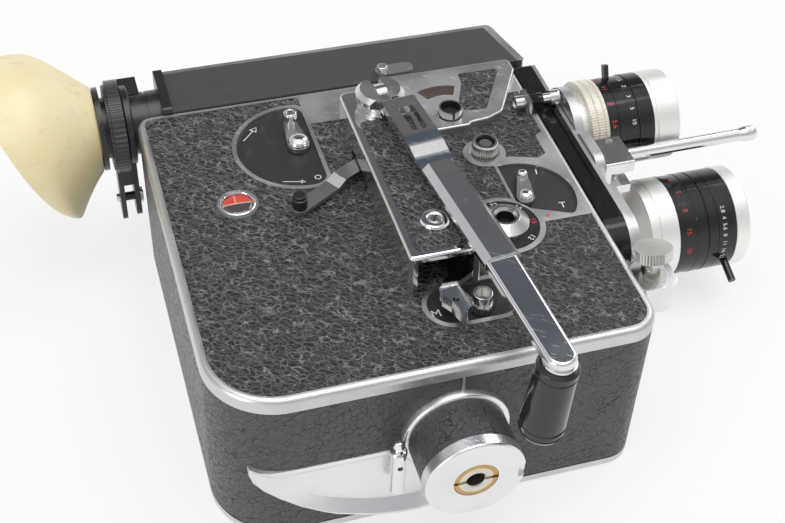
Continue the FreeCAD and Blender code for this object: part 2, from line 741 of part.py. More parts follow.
def shutter_disc():
    """Sector shutter on its shaft; the open sector passes the light."""
    disc = rod_x(SHUTTER_Y, SHUTTER_Z, 28.5, 79, 79.8)
    sector = prism_x([(0, 0), (40, -28), (40, -70), (-55, -70), (-40, -14)], 78, 81)
    sector.translate(Vector(0, SHUTTER_Y, SHUTTER_Z))
    hub = rod_x(SHUTTER_Y, SHUTTER_Z, 7, 78, 80.6)
    shaft = rod_x(SHUTTER_Y, SHUTTER_Z, 2.5, 73, 82)
    return joined([disc.cut(sector), hub, shaft])


def spring_barrel():
    gear = knurled_z(HUB_X, HUB_Y, 28, 1.6, 48, 43, 46)
    profile = [(0, 46), (26, 46), (26, 62, 1.5), (8, 62), (8, 63), (0, 63)]
    return joined([gear, turned_z(profile, HUB_X, HUB_Y)])


def motor_lever():
    shaft = rod_z(MOTOR_X, MOTOR_Y, 2, SHAFT_END, 71)
    arm = tapered_bar((MOTOR_X, MOTOR_Y, 4.2), (MOTOR_X - 0.3, MOTOR_Y + 12.2, 2.6), LEVER_FLOOR, 72)
    cap = turned_z([(0, LEVER_FLOOR), (3.9, LEVER_FLOOR), (3.9, 73.4, 0.8), (0, 73.4)], MOTOR_X, MOTOR_Y)
    pin = turned_z([(0, 71), (1.7, 71), (1.7, 75), (2.5, 75), (2.5, 77.2, 0.7), (0, 77.2)],
                   MOTOR_X - 0.3, MOTOR_Y + 12.2)
    return joined([shaft, arm, cap, pin])


def mode_lever():
    shaft = rod_z(MODE_X, MODE_Y, 2, SHAFT_END, 71)
    arm = tapered_bar((MODE_X, MODE_Y, 3.3), (MODE_PIN_X, MODE_PIN_Y, 2.0), LEVER_FLOOR, 71.6)
    cap = turned_z([(0, LEVER_FLOOR), (2.6, LEVER_FLOOR), (2.6, 73, 0.8), (0, 73)], MODE_X, MODE_Y)
    pin = turned_z([(0, 71), (1.9, 71), (1.9, 73.4, 1.2), (0, 73.4)], MODE_PIN_X, MODE_PIN_Y)
    return joined([shaft, arm, cap, pin])


def speed_dial():
    """Figure ring, knurled rim and a cone with a deep centre hole."""
    disc = rod_z(SPEED_X, SPEED_Y, 12.6, 69.8, 70.8)
    knob = knurled_z(SPEED_X, SPEED_Y, 9.0, 0.5, 40, 70.8, 73)
    crown = turned_z([(3.2, 73), (8.7, 73), (8.7, 73.3), (5.2, 75.8, 0.3), (4.2, 75.8), (3.2, 74.6)],
                     SPEED_X, SPEED_Y)
    shaft = rod_z(SPEED_X, SPEED_Y, 3, SHAFT_END, 71)
    solid = joined([disc, knob, crown, shaft])
    return solid.cut(rod_z(SPEED_X, SPEED_Y, 3.2, 71.5, 77))


def counter_dial():
    disc = rod_z(COUNTER_X, COUNTER_Y, COUNTER_DIAL_RADIUS, 67.9, 68.8)
    boss = rod_z(COUNTER_X, COUNTER_Y, 4, 66.4, 67.9)
    return joined([disc, boss])


def counter_knob():
    """Open cup on a round seat, with a slit in its rim."""
    seat = rod_z(COUNTER_X, COUNTER_Y, 4.6, 71.6, 72.3)
    cup = turned_z([(0, 72.3), (4.2, 72.3), (4.5, 77.5), (3.9, 77.5), (3.7, 74.5), (0, 74.5)],
                   COUNTER_X, COUNTER_Y)
    shaft = rod_z(COUNTER_X, COUNTER_Y, 2, 68.8, 71.6)
    slit = box((COUNTER_X - 0.5, COUNTER_X + 0.5), (COUNTER_Y - 5, COUNTER_Y - 2), (74.5, 78))
    return joined([seat, cup, shaft]).cut(slit)


def frame_knob():
    """Knurled cup with a screw head sunk in its top."""
    base = rod_z(FRAME_X, FRAME_Y, 4.8, 69.8, 70.5)
    knob = knurled_z(FRAME_X, FRAME_Y, 5.0, 0.4, 30, 70.4, 75.9)
    rim = turned_z([(3.7, 75.9), (4.9, 75.9), (4.6, 76.5, 0.2), (3.7, 76.5)], FRAME_X, FRAME_Y)
    screw = rod_z(FRAME_X, FRAME_Y, 2.3, 74.2, 75.6)
    shaft = rod_z(FRAME_X, FRAME_Y, 2, SHAFT_END, 71)
    cup = joined([base, knob, rim, shaft]).cut(rod_z(FRAME_X, FRAME_Y, 3.7, 74.2, 78))
    return joined([cup, screw])


def fader_lever():
    """Bent sheet lever: low at its pin and one step higher where it enters the housing."""
    side = [
        (0, 72.6), (17.5, 72.6), (21.5, 74.4), (25, 74.4), (25, 75.8), (20.7, 75.8), (16.7, 74), (0, 74),
    ]
    arm = prism_y(side, -3.1, 3.1)
    arm.rotate(Vector(0, 0, 0), Vector(0, 0, 1), FADER_LEVER_TURN)
    arm.translate(Vector(FADER_PIN_X, FADER_PIN_Y, 0))
    inner = strap([(-8, 20), (FADER_LEVER_X, FADER_LEVER_Y)], 6.2, 74.4, 75.8)
    end = rod_z(FADER_PIN_X, FADER_PIN_Y, 3.1, 72.6, 74)
    shaft = rod_z(FADER_LEVER_X, FADER_LEVER_Y, 2, 75, 83)
    profile = [
        (0, 73), (2, 73), (2.9, 74.1), (2.9, 78.2, 0.3), (2.4, 78.5), (2.4, 79.8, 0.5), (0, 79.8),
    ]
    return joined([arm, inner, end, shaft, turned_z(profile, FADER_PIN_X, FADER_PIN_Y)])


def fader_claw():
    """Curved claw with a thick pierced end, on a shaft through the housing's eyelet."""
    blade = prism([
        (CLAW_X - 3.5, CLAW_Y + 3.5, 3.2), (CLAW_X + 3.5, CLAW_Y + 3.5, 3.2), (19.6, -43, 1.5),
        (13.5, -46.5, 3), (10.3, -51.5), (4.7, -53, 1.5), (5.5, -48.5, 3), (11.5, -41.5, 4),
    ], 76, 78.6)
    block = prism([
        (5, -51.8, 0.8), (11.7, -48.9, 1), (14.4, -56.8, 1.5), (9.9, -63.2, 0.8), (7.6, -56, 0.8),
    ], 74.4, 79.8)
    shaft = rod_z(CLAW_X, CLAW_Y, 2, 78, FADER_TOP + 0.8)
    return joined([blade, block, shaft]).cut(rod_z(8.9, -55.6, 1, 70, 82))


def rewind_shaft():
    """Knurled collar and the slim socket end that takes a rewind key."""
    stem = turned_z([(0, SHAFT_END), (2, SHAFT_END), (2, 70), (3.4, 70), (3.4, 70.5), (0, 70.5)],
                    REWIND_X, REWIND_Y)
    collar = knurled_z(REWIND_X, REWIND_Y, 4.0, 0.4, 24, 70.5, 73.5)
    head = turned_z([(0, 73.5), (3.3, 73.5), (3.3, 77.5, 0.3), (2.4, 77.5), (2.4, 75.5), (0, 75.5)],
                    REWIND_X, REWIND_Y)
    return joined([stem, collar, head])


def on_crank(shape):
    """Sets a piece drawn along X from the hub onto the crank's real line."""
    shape.rotate(Vector(0, 0, 0), Vector(0, 0, 1), CRANK_ANGLE)
    shape.translate(Vector(HUB_X, HUB_Y, 0))
    return shape


def leaning(shape):
    """Tilts a piece drawn upright at the crank's end to the handle's lean."""
    shape.rotate(Vector(HANDLE_REACH, HANDLE_OFFSET, BAR_LOW), Vector(1, 0, 0), -HANDLE_LEAN)
    return shape


def crank_hub():
    """Waisted head with a slot for the knuckle and two flats past which the arm folds."""
    profile = [
        (0, 63.2), (3, 63.2), (3, 87.1), (8.5, 87.1), (8.5, 87.9), (6.2, 87.9), (6.2, 89.8),
        (9.1, 91.4), (9.1, 93.2), (7.5, CRANK_HIGH), (0, CRANK_HIGH),
    ]
    cuts = [
        box((-10, 10), (-2, 2), (HINGE_Z - KNUCKLE_RADIUS - 0.1, 96)),
        rod_y(0, HINGE_Z, 1.2, -HINGE_PIN, HINGE_PIN),
        box((HUB_FLAT, 10), (-10, 10), (87.95, 96)),
        box((-10, -HUB_FLAT), (-10, 10), (87.95, 96)),
    ]
    return on_crank(turned_z(profile, 0, 0).cut(cuts))


def crank_pin():
    return on_crank(rod_y(0, HINGE_Z, 1.2, -HINGE_PIN, HINGE_PIN))


def crank_arm():
    """Thin pierced plate that dips to a bevelled sleeve, with the knuckle that carries it."""
    knuckle = rod_y(0, HINGE_Z, KNUCKLE_RADIUS, -1.9, 1.9)
    tongue = box((0, ARM_START + 1), (-1.9, 1.9), (88.7, 94.3))
    side = [
        (ARM_START, 92.5), (29, 90.8), (SLEEVE_START, SLEEVE_LOW), (SLEEVE_START, 92.4), (41, 92.6, 20),
        (33, 94.6, 20), (29.1, CRANK_HIGH, 12), (ARM_START, CRANK_HIGH, 0.5),
    ]
    low = CRANK_OFFSET - ARM_WIDTH / 2
    high = CRANK_OFFSET + ARM_WIDTH / 2
    arm = prism_y(side, low, high)
    arm = arm.common(prism([(ARM_START, low, 1.5), (60, low), (60, high), (ARM_START, high, 1.5)], 80, 100))
    window = prism([(13.3, 1.5, 1), (27.3, 1.5, 1), (27.3, 7.3, 1), (13.3, 7.3, 1)], 80, 100)
    section = [
        (low, SLEEVE_LOW), (high, SLEEVE_LOW), (high, CRANK_HIGH - SLEEVE_BEVEL),
        (high - SLEEVE_BEVEL, CRANK_HIGH), (low + SLEEVE_BEVEL, CRANK_HIGH),
        (low, CRANK_HIGH - SLEEVE_BEVEL),
    ]
    sleeve = prism_x(section, SLEEVE_START, SLEEVE_END)
    solid = joined([knuckle, tongue, arm.cut(window), sleeve])
    return on_crank(solid.cut(rod_y(0, HINGE_Z, 1.2 + FIT, -10, 10)))


def crank_bar():
    """Tapered bar with a round end, the washer under it and the handle's pin."""
    end = HANDLE_REACH + BAR_END_HALF
    corner = BAR_END_HALF - 0.1
    bar = prism([(SLEEVE_END, BAR_OFFSET - BAR_START_HALF), (end, HANDLE_OFFSET - BAR_END_HALF, corner),
                 (end, HANDLE_OFFSET + BAR_END_HALF, corner), (SLEEVE_END, BAR_OFFSET + BAR_START_HALF)],
                BAR_LOW, BAR_HIGH)
    bar = bar.makeFillet(1.4, level_edges(bar, BAR_HIGH))
    washer = rod_z(HANDLE_REACH, HANDLE_OFFSET, 5.6, HANDLE_TOP + 0.1, BAR_LOW + 0.1)
    pin = rod_z(HANDLE_REACH, HANDLE_OFFSET, 2, 61.2, BAR_LOW + 0.5)
    return on_crank(joined([bar, leaning(washer), leaning(pin)]))


def crank_handle():
    profile = [
        (0, HANDLE_LOW), (6.6, HANDLE_LOW, 1.2), (7.5, 61), (7.2, 61.3), (7.2, 62.1), (7.6, 62.4),
        (7.6, 63.5), (7.2, 63.8), (7.2, 64.6), (7.6, 65), (6.9, 85.9), (6.6, 86.2), (6.6, 86.7),
        (7, 87), (7, 89, 0.4), (6, HANDLE_TOP), (0, HANDLE_TOP),
    ]
    handle = turned_z(profile, HANDLE_REACH, HANDLE_OFFSET)
    return on_crank(leaning(handle.cut(rod_z(HANDLE_REACH, HANDLE_OFFSET, 2 + FIT, 60.9, 95))))


def finder_slide():
    """Sliding cover plate with its button and the key that runs in the slot."""
    plate = prism([(21, 78.7, 3.1), (36.7, 78.7, 3.1), (36.7, 85, 3.1), (21, 85, 3.1)], FACE_TOP + 0.1, 71.8)
    key = prism([(23, 80.9, 0.8), (26, 80.9, 0.8), (26, 82.7, 0.8), (23, 82.7, 0.8)], 69, 71.5)
    pin = turned_z([(0, 71.5), (1.5, 71.5), (1.5, 73.4), (2.1, 73.8), (2.1, 75.2, 0.5), (0, 75.2)],
                   23.3, 80.3)
    return joined([plate, key, pin])


def eyepiece_ring():
    profile = [
        (12 + FIT, -86.2), (16.8, -86.2), (16.8, -85), (18.3, -85), (18.3, -80.2), (12 + FIT, -80.2),
    ]
    return turned_x(profile, EYE_Y, EYE_Z)


def turret_disc():
    places = [rod_x(y, z, 16.5, TURRET_BACK, TURRET_FACE)
              for y, z in (port(WIDE_ANGLE), port(LONG_ANGLE), port(OPEN_ANGLE))]
    middle = rod_x(TURRET_Y, TURRET_Z, 27, TURRET_BACK, TURRET_FACE)
    ear = prism_x([(1.5, 50, 4), (26, 50), (26, 72, 3), (7, 72, 6)], TURRET_BACK, TURRET_FACE)
    ring = rod_x(OPEN_Y, OPEN_Z, 15.2, TURRET_FACE, 92)
    stud = rod_x(TURRET_Y, TURRET_Z, 4, 83, TURRET_BACK)
    cap = turned_x([(0, 89), (7, 89), (7, 91.5, 1), (0, 91.5)], TURRET_Y, TURRET_Z)
    solid = joined(places + [middle, ear, ring, stud, cap])
    cuts = [
        rod_x(WIDE_Y, WIDE_Z, LIGHT_RADIUS, 85.5, 92),
        rod_x(LONG_Y, LONG_Z, LIGHT_RADIUS, 85.5, 92),
        rod_x(OPEN_Y, OPEN_Z, 12.7, 85.5, 92),
    ]
    return solid.cut(cuts)


def turret_block():
    block = prism_x([(5.5, 54, 1), (22, 54, 1), (22, 70, 1), (5.5, 70, 1)], TURRET_FACE, 101)
    cut = [
        box((92.2, 102), (0, 30), (LEVER_Z - 3.2, LEVER_Z + 3.2)),
        rod_z(LEVER_PIVOT_X, LEVER_Y, 1.5, 50, 72),
    ]
    return block.cut(cut)


def turret_lever():
    eye = rod_z(LEVER_PIVOT_X, LEVER_Y, 2.9, LEVER_Z - 3, LEVER_Z + 3)
    rod = turned_x([(0, 97), (2.5, 97), (2.5, 152), (3.1, 155), (3.1, 160.6, 3), (0, 160.6)],
                   LEVER_Y, LEVER_Z)
    pin = rod_z(LEVER_PIVOT_X, LEVER_Y, 1.45, 54.5, 69.5)
    return joined([eye, rod, pin])


def wide_lens_barrel():
    profile = [
        (LIGHT_RADIUS, TURRET_FACE), (14, TURRET_FACE), (14, 92), (15, 92), (15, 99.8), (17.6, 99.8),
        (17.6, 103.8), (15, 103.8), (15, 112.2), (17.9, 112.2, 0.3), (17.9, 119.6), (17.3, 120),
        (17.9, 120.4), (17.9, 129.4, 0.6), (15.5, 129.4), (12, 125.5), (LIGHT_RADIUS, 118),
    ]
    return turned_x(profile, WIDE_Y, WIDE_Z)


def wide_lens_ring():
    profile = [
        (15 + FIT, 92.3), (17.9, 92.3, 0.2), (17.9, 94.4), (17.4, 94.7), (17.4, 95), (17.9, 95.3),
        (17.9, 97.4), (17.4, 97.7), (17.4, 98), (17.9, 98.3), (17.9, 99.6, 0.2), (15 + FIT, 99.6),
    ]
    return turned_x(profile, WIDE_Y, WIDE_Z)


def wide_lens_iris():
    profile = [(15 + FIT, 104), (17.6, 104), (17.6, 112), (15 + FIT, 112)]
    lever = box((105, 107), (-1.2, 1.2), (16.5, 23))
    lever.rotate(Vector(0, 0, 0), Vector(1, 0, 0), -25)
    lever.translate(Vector(0, WIDE_Y, WIDE_Z))
    return joined([turned_x(profile, WIDE_Y, WIDE_Z), lever])


def long_lens_barrel():
    profile = [
        (LIGHT_RADIUS, TURRET_FACE), (14, TURRET_FACE), (14, 103.5), (19.4, 108), (19.8, 108),
        (19.8, 112), (20.2, 112), (20.2, 121), (16.5, 121), (16.5, 143.8), (20.2, 143.8, 0.3),
        (20.2, 149.9, 0.8), (17.5, 149.9), (14, 145.5), (LIGHT_RADIUS, 136),
    ]
    return turned_x(profile, LONG_Y, LONG_Z)


def long_lens_ring():
    profile = [
        (16.5 + FIT, 121.2), (19.8, 121.2), (19.8, 127), (20, 127.3), (20, 131.2), (19.6, 131.5),
        (19.6, 131.9), (20, 132.2), (20, 136), (16.5 + FIT, 136),
    ]
    return turned_x(profile, LONG_Y, LONG_Z)


def long_lens_iris():
    profile = [(16.5 + FIT, 136.2), (20, 136.2), (20, 143.6), (16.5 + FIT, 143.6)]
    lever = rod_z(0, 0, 1.5, 18, 29)
    lever.rotate(Vector(0, 0, 0), Vector(1, 0, 0), 110)
    lever.translate(Vector(141, LONG_Y, LONG_Z))
    return joined([turned_x(profile, LONG_Y, LONG_Z), lever])


def lens_glass():
    """Front elements of both lenses."""
    wide = turned_x([(0, 121), (12, 125.5), (13.4, 127.2), (0, 127.8)], WIDE_Y, WIDE_Z)
    long = turned_x([(0, 141), (14, 145.5), (15.6, 147.4), (0, 148.2)], LONG_Y, LONG_Z)
    wide = wide.cut(wide_lens_barrel())
    long = long.cut(long_lens_barrel())
    return Part.makeCompound([wide, long])


SUBPARTS = (
    body_casting, control_cover, leather_inlays, wall_leather, motor_dial_plate, mode_dial_plate,
    rewind_dial_plate, indicator_window, fader_housing, finder_box, finder_strip, eyepiece_tube,
    eyepiece_clamp, eyecup, front_housing, front_plate, clamp_bracket, release_block, boss_leather,
    boss_cap, tripod_bush, base_foot, gate_plate, film_door, door_lock, pressure_plate,
    upper_sprocket, lower_sprocket, supply_spindle, takeup_spindle, shutter_disc, spring_barrel,
    motor_lever, mode_lever, speed_dial, counter_dial, counter_knob, frame_knob, fader_lever,
    fader_claw, rewind_shaft, crank_hub, crank_pin, crank_arm, crank_bar, crank_handle,
    finder_slide, eyepiece_ring, turret_disc, turret_block, turret_lever, wide_lens_barrel,
    wide_lens_ring, wide_lens_iris, long_lens_barrel, long_lens_ring, long_lens_iris, lens_glass,
    clamp_screw, release_plunger,
)

os.makedirs("parts", exist_ok=True)
for make in SUBPARTS:
    solid = make()
    if not solid.isValid():
        print("not valid:", make.__name__)
    solid.exportStep("parts/" + make.__name__ + ".step")
    print(make.__name__, len(solid.Solids), "solid(s),", round(solid.Volume), "cubic mm")
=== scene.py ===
import math

import bmesh
import bpy
from mathutils import Matrix, Vector


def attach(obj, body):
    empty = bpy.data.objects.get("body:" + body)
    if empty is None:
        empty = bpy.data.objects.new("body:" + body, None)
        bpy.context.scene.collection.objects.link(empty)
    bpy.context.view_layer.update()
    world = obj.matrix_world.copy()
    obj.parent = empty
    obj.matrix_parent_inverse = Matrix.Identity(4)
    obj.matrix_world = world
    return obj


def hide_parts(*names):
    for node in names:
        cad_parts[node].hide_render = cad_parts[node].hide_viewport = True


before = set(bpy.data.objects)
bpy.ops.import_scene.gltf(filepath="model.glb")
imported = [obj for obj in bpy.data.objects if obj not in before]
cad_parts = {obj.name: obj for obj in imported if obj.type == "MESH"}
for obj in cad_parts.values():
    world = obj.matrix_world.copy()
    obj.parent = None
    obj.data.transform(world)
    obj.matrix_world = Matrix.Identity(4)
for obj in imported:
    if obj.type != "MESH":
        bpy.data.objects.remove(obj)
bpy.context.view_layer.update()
MM = 0.001


# Casting, side cover, front plate and turret disc. They are die-cast light alloy,
# plated with a satin nickel that has gone slightly cloudy and picked up fine
# handling marks. The cover is screwed down on the casting.
class Tone:
    """A value on its way through a finish; sums and products add their own nodes."""

    def __init__(self, tree, socket):
        self.tree = tree
        self.socket = socket

    def maths(self, operation, first, second):
        made = self.tree.nodes.new("ShaderNodeMath")
        made.operation = operation
        for place, value in enumerate((first, second)):
            if isinstance(value, Tone):
                self.tree.links.new(value.socket, made.inputs[place])
            else:
                made.inputs[place].default_value = value
        return Tone(self.tree, made.outputs[0])

    def __add__(self, other):
        return self.maths("ADD", self, other)

    def __radd__(self, other):
        return self.maths("ADD", other, self)

    def __sub__(self, other):
        return self.maths("SUBTRACT", self, other)

    def __rsub__(self, other):
        return self.maths("SUBTRACT", other, self)

    def __mul__(self, other):
        return self.maths("MULTIPLY", self, other)

    def __rmul__(self, other):
        return self.maths("MULTIPLY", other, self)

    def __gt__(self, other):
        return self.maths("GREATER_THAN", self, other)

    def __lt__(self, other):
        return self.maths("LESS_THAN", self, other)

    def either(self, other):
        """Mask that holds where either of two masks does."""
        return self.maths("MAXIMUM", self, other)

    def angle(self, across):
        """Angle in radians of a point this high and that far across."""
        return self.maths("ARCTAN2", self, across)

    def sine(self):
        return self.maths("SINE", self, 0.0)


class Nodes:
    """A node tree, built up one node at a time on one kind of coordinates."""

    def __init__(self, tree, coordinates):
        self.tree = tree
        self.tree.nodes.clear()
        self.place = self.node("TexCoord", {}, {}, coordinates)

    def node(self, kind, settings, sockets, output=0):
        made = self.tree.nodes.new("ShaderNode" + kind)
        for name, value in settings.items():
            if name == "stops":
                self.set_stops(made.color_ramp, value)
            else:
                setattr(made, name, value)
        for name, value in sockets.items():
            if isinstance(value, Tone):
                self.tree.links.new(value.socket, made.inputs[name])
            elif made.inputs[name].type == "RGBA":
                made.inputs[name].default_value = (*value, 1)
            else:
                made.inputs[name].default_value = value
        return Tone(self.tree, made.outputs[output])

    def set_stops(self, ramp, stops):
        while len(ramp.elements) < len(stops):
            ramp.elements.new(0.5)
        for element, (position, colour) in zip(ramp.elements, stops):
            element.position = position
            element.color = (*colour, 1)

    def axis(self, letter, vector=None):
        """One coordinate of the place, or of another vector."""
        source = self.place if vector is None else vector
        return self.node("SeparateXYZ", {}, {"Vector": source}, letter)

    def offset_from(self, centre):
        """Place measured from a centre given in millimetres."""
        middle = [length * MM for length in centre]
        return self.node("VectorMath", {"operation": "SUBTRACT"}, {0: self.place, 1: middle})

    def away_from(self, centre, across):
        """Distance in metres from an axis; across has a 1 for each axis square to it."""
        level = self.node("VectorMath", {"operation": "MULTIPLY"}, {
            0: self.offset_from(centre), 1: across,
        })
        return self.node("VectorMath", {"operation": "LENGTH"}, {0: level}, "Value")

    def stretched(self, scale, turn=(0, 0, 0)):
        """Place that is first turned and then stretched along its axes."""
        leaning = self.node("Mapping", {}, {"Vector": self.place, "Rotation": turn})
        return self.node("Mapping", {}, {"Vector": leaning, "Scale": scale})

    def noise(self, where, scale, detail=2.0, output="Fac"):
        sockets = {"Vector": where, "Scale": scale, "Detail": detail}
        return self.node("TexNoise", {}, sockets, output)

    def pushed(self, pattern, reach, where):
        """Coordinates that a colour pattern pushes about, as far as the reach."""
        return self.node("VectorMath", {"operation": "MULTIPLY_ADD"}, {
            0: pattern, 1: (reach, reach, reach), 2: where,
        })

    def cells(self, where, feature):
        """Distance inside irregular cells: from their middle (F1) or from their edge."""
        sockets = {"Vector": where, "Scale": 1.0}
        return self.node("TexVoronoi", {"feature": feature}, sockets, "Distance")

    def cell_edges(self, where, width):
        """Soft lines of one width between irregular cells."""
        return self.between(self.cells(where, "DISTANCE_TO_EDGE"), 0.0, width, 1.0, 0.0)

    def between(self, value, low, high, first=0.0, second=1.0):
        """Value mapped from low-high to first-second, and held at the ends."""
        return self.node("MapRange", {"interpolation_type": "SMOOTHSTEP"}, {
            "Value": value, "From Min": low, "From Max": high,
            "To Min": first, "To Max": second,
        })

    def blend(self, mask, first, second):
        return self.node("Mix", {"data_type": "RGBA"}, {0: mask, 6: first, 7: second}, 2)

    def output(self, shader, kind="OutputMaterial"):
        end = self.tree.nodes.new("ShaderNode" + kind)
        self.tree.links.new(shader.socket, end.inputs["Surface"])


class Finish(Nodes):
    """One material on the coordinates of its object."""

    def __init__(self, name):
        self.material = bpy.data.materials.new(name)
        self.material.use_nodes = True
        super().__init__(self.material.node_tree, "Object")

    def surface(self, base, roughness, height=None, depth=0.0, **fixed):
        sockets = {"Base Color": base, "Roughness": roughness}
        sockets.update({name.replace("_", " "): value for name, value in fixed.items()})
        if height is not None:
            sockets["Normal"] = self.node("Bump", {}, {"Height": height, "Distance": depth})
        self.output(self.node("BsdfPrincipled", {}, sockets))
        return self


def metal(name, colour, dull, smooth, rough, grain=0.01):
    """Plated metal: cloudy polish, fine grain and a few long handling scratches."""
    finish = Finish(name)
    cloud = finish.between(finish.noise(finish.place, 45.0, 3.0), 0.35, 0.7)
    fine = finish.noise(finish.place, 2600.0, 2.0)
    drag = finish.stretched((60, 1500, 900), (0.1, 0.2, 0.7))
    scratch = finish.noise(drag, 1.0, 1.0) > 0.68
    shade = finish.blend(cloud * 0.6 + fine * 0.2, colour, dull)
    polish = smooth + (rough - smooth) * cloud + 0.06 * fine + 0.12 * scratch
    return finish.surface(shade, polish, fine - 0.4 * scratch, grain * MM, Metallic=1.0)


def dress(finish, *names):
    """Gives CAD pieces their finish."""
    for name in names:
        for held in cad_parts[name].material_slots:
            held.material = finish.material


satin_nickel = metal(
    "satin nickel", (0.66, 0.66, 0.66), (0.54, 0.54, 0.54), 0.28, 0.42, 0.015)
dress(satin_nickel, "control_cover", "body_casting", "front_plate", "turret_disc")


# Leather coverings of the control side, the walls and the tripod boss. They are
# thin calf leather, dyed black and glued on. The flat sheets have crossing ridges
# pressed in, with a painted highlight: their ridges are coloured light grey. The
# wall covering is stretched, so its grain is broken by creases, which are coloured
# darker as painted shade.
def pressed_leather(name, lean):
    """Thin ridges that wander along the hide and cross over near-black valleys; the ridges are
    coloured light grey as a painted highlight.
    """
    finish = Finish(name)
    wander = finish.noise(finish.place, 170.0, 3.0, "Color")
    broad = finish.pushed(wander, 2.4, finish.stretched((230, 520, 520), (0, 0, lean)))
    narrow = finish.pushed(wander, 2.2, finish.stretched((400, 760, 760), (0, 0, lean - 0.5)))
    folds = finish.noise(finish.stretched((120, 420, 420), (0, 0, lean)), 1.0, 3.0)
    folds = finish.between(folds, 0.42, 0.60)
    ridge_and_sheen = finish.cell_edges(broad, 0.13) * (0.30 + 0.55 * folds)
    ridge_and_sheen = ridge_and_sheen + 0.24 * finish.cell_edges(narrow, 0.15)
    fine = finish.noise(finish.place, 2600.0, 3.0)
    # Painted highlight: the ridges are coloured light grey over the near-black leather.
    shade = finish.blend(ridge_and_sheen, (0.003, 0.003, 0.004), (0.22, 0.22, 0.23))
    return finish.surface(shade, 0.46 - 0.06 * ridge_and_sheen, ridge_and_sheen + 0.25 * fine, 0.6 * MM)


def stretched_leather(name):
    """Worn, nearly smooth hide, broken by fine creases that lie in folds; the creases are coloured
    darker, most in the folds, as painted shade.
    """
    finish = Finish(name)
    wander = finish.noise(finish.place, 150.0, 3.0, "Color")
    grid = finish.pushed(wander, 2.4, finish.stretched((330, 330, 560), (0.2, 0.5, 0)))
    crease = finish.cell_edges(grid, 0.14)
    folds = finish.noise(finish.stretched((90, 90, 420), (0.1, 0.6, 0)), 1.0, 3.0)
    folds = finish.between(folds, 0.46, 0.66)
    fine = finish.noise(finish.place, 2800.0, 3.0)
    # Painted shade: the creases are coloured darker, most where they lie in folds.
    dark_with_shade = crease * (0.35 + 0.65 * folds)
    shade = finish.blend(dark_with_shade, (0.060, 0.060, 0.064), (0.010, 0.010, 0.011))
    height = 0.25 * fine - 0.9 * crease * (0.4 + 0.6 * folds)
    return finish.surface(shade, 0.34 + 0.2 * crease, height, 0.26 * MM)


face_leather = pressed_leather("pressed black leather", 0.7)
wall_leather = stretched_leather("stretched black leather")
dress(face_leather, "leather_inlays")
dress(wall_leather, "wall_leather", "boss_leather")


# Dial plates of the motor, mode and rewind controls. They are brass sheet with
# black enamel, laid in recesses of the cover, and their marks are filled white.
def enamel(name, colour, scuffed, smooth):
    """Thin hard paint with dust, hairline wear and a slight ripple."""
    finish = Finish(name)
    dust = finish.noise(finish.place, 900.0, 4.0)
    rubbed = finish.noise(finish.stretched((300, 90, 90), (0, 0, 0.5)), 1.0, 4.0)
    rubbed = finish.between(rubbed, 0.52, 0.8)
    shade = finish.blend(0.5 * rubbed + 0.2 * dust, colour, scuffed)
    return finish.surface(shade, smooth + 0.12 * dust + 0.1 * rubbed, dust, 0.02 * MM)


MERGE_GAP = 0.000002
SHARP_FROM = math.radians(32)


def piece(name, shape, finish, body):
    """Finished object from a bmesh; it rides with a CAD body."""
    bmesh.ops.remove_doubles(shape, verts=shape.verts, dist=MERGE_GAP)
    bmesh.ops.recalc_face_normals(shape, faces=shape.faces)
    mesh = bpy.data.meshes.new(name)
    shape.to_mesh(mesh)
    shape.free()
    made = bpy.data.objects.new(name, mesh)
    bpy.context.scene.collection.objects.link(made)
    mesh.materials.append(finish.material)
    mesh.shade_smooth()
    mesh.set_sharp_from_angle(angle=SHARP_FROM)
    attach(made, body)
    return made


def standing(x, y, z, turn=0.0):
    """Placement, in millimetres, on a surface that faces up."""
    return Matrix.Translation(Vector((x, y, z)) * MM) @ Matrix.Rotation(math.radians(turn), 4, "Z")


CAPITAL_HEIGHT = 0.7


def add_words(shape, words, height, placement):
    """Figures of one height in millimetres, centred on a placement, with a little body."""
    curve = bpy.data.curves.new(words, "FONT")
    curve.body = words
    curve.size = height * MM / CAPITAL_HEIGHT
    curve.align_x = "CENTER"
    curve.align_y = "CENTER"
    curve.extrude = 0.02 * MM
    holder = bpy.data.objects.new(words, curve)
    mesh = bpy.data.meshes.new_from_object(holder)
    mesh.transform(placement)
    shape.from_mesh(mesh)
    bpy.data.objects.remove(holder)
    bpy.data.curves.remove(curve)
    bpy.data.meshes.remove(mesh)


def add_plate(shape, points, low, high):
    """Flat piece with its corners at (x, y) points, in millimetres."""
    corners = [shape.verts.new((x * MM, y * MM, low * MM)) for x, y in points]
    face = shape.faces.new(corners)
    raised = bmesh.ops.extrude_face_region(shape, geom=[face])
    lifted = [part for part in raised["geom"] if isinstance(part, bmesh.types.BMVert)]
    bmesh.ops.translate(shape, vec=(0, 0, (high - low) * MM), verts=lifted)


DIAL_LEVEL = 69.64
STROKE_FOOT = 69.61
STROKE_TOP = 69.66
STROKE_STEP = 0.004
HALF_STROKE = 0.16


def add_arrow(shape, x, y, turn, length, wing):
    """Outline arrow of thin strokes: a shaft and a hollow three-sided head."""
    line = HALF_STROKE
    tip = length / 2
    neck = tip - 1.7 * wing
    strokes = [
        [(-tip, -line), (neck, -line), (neck, line), (-tip, line)],
        [(neck - line, -wing), (neck + line, -wing), (neck + line, wing), (neck - line, wing)],
        [(neck, wing), (neck, wing - 2.2 * line), (tip - 2 * line, 0), (tip, 0)],
        [(neck, -wing), (tip, 0), (tip - 2 * line, 0), (neck, 2.2 * line - wing)],
    ]
    cosine = math.cos(math.radians(turn))
    sine = math.sin(math.radians(turn))
    for level, stroke in enumerate(strokes):
        points = [(x + u * cosine - v * sine, y + u * sine + v * cosine) for u, v in stroke]
        add_plate(shape, points, STROKE_FOOT, STROKE_TOP + STROKE_STEP * level)
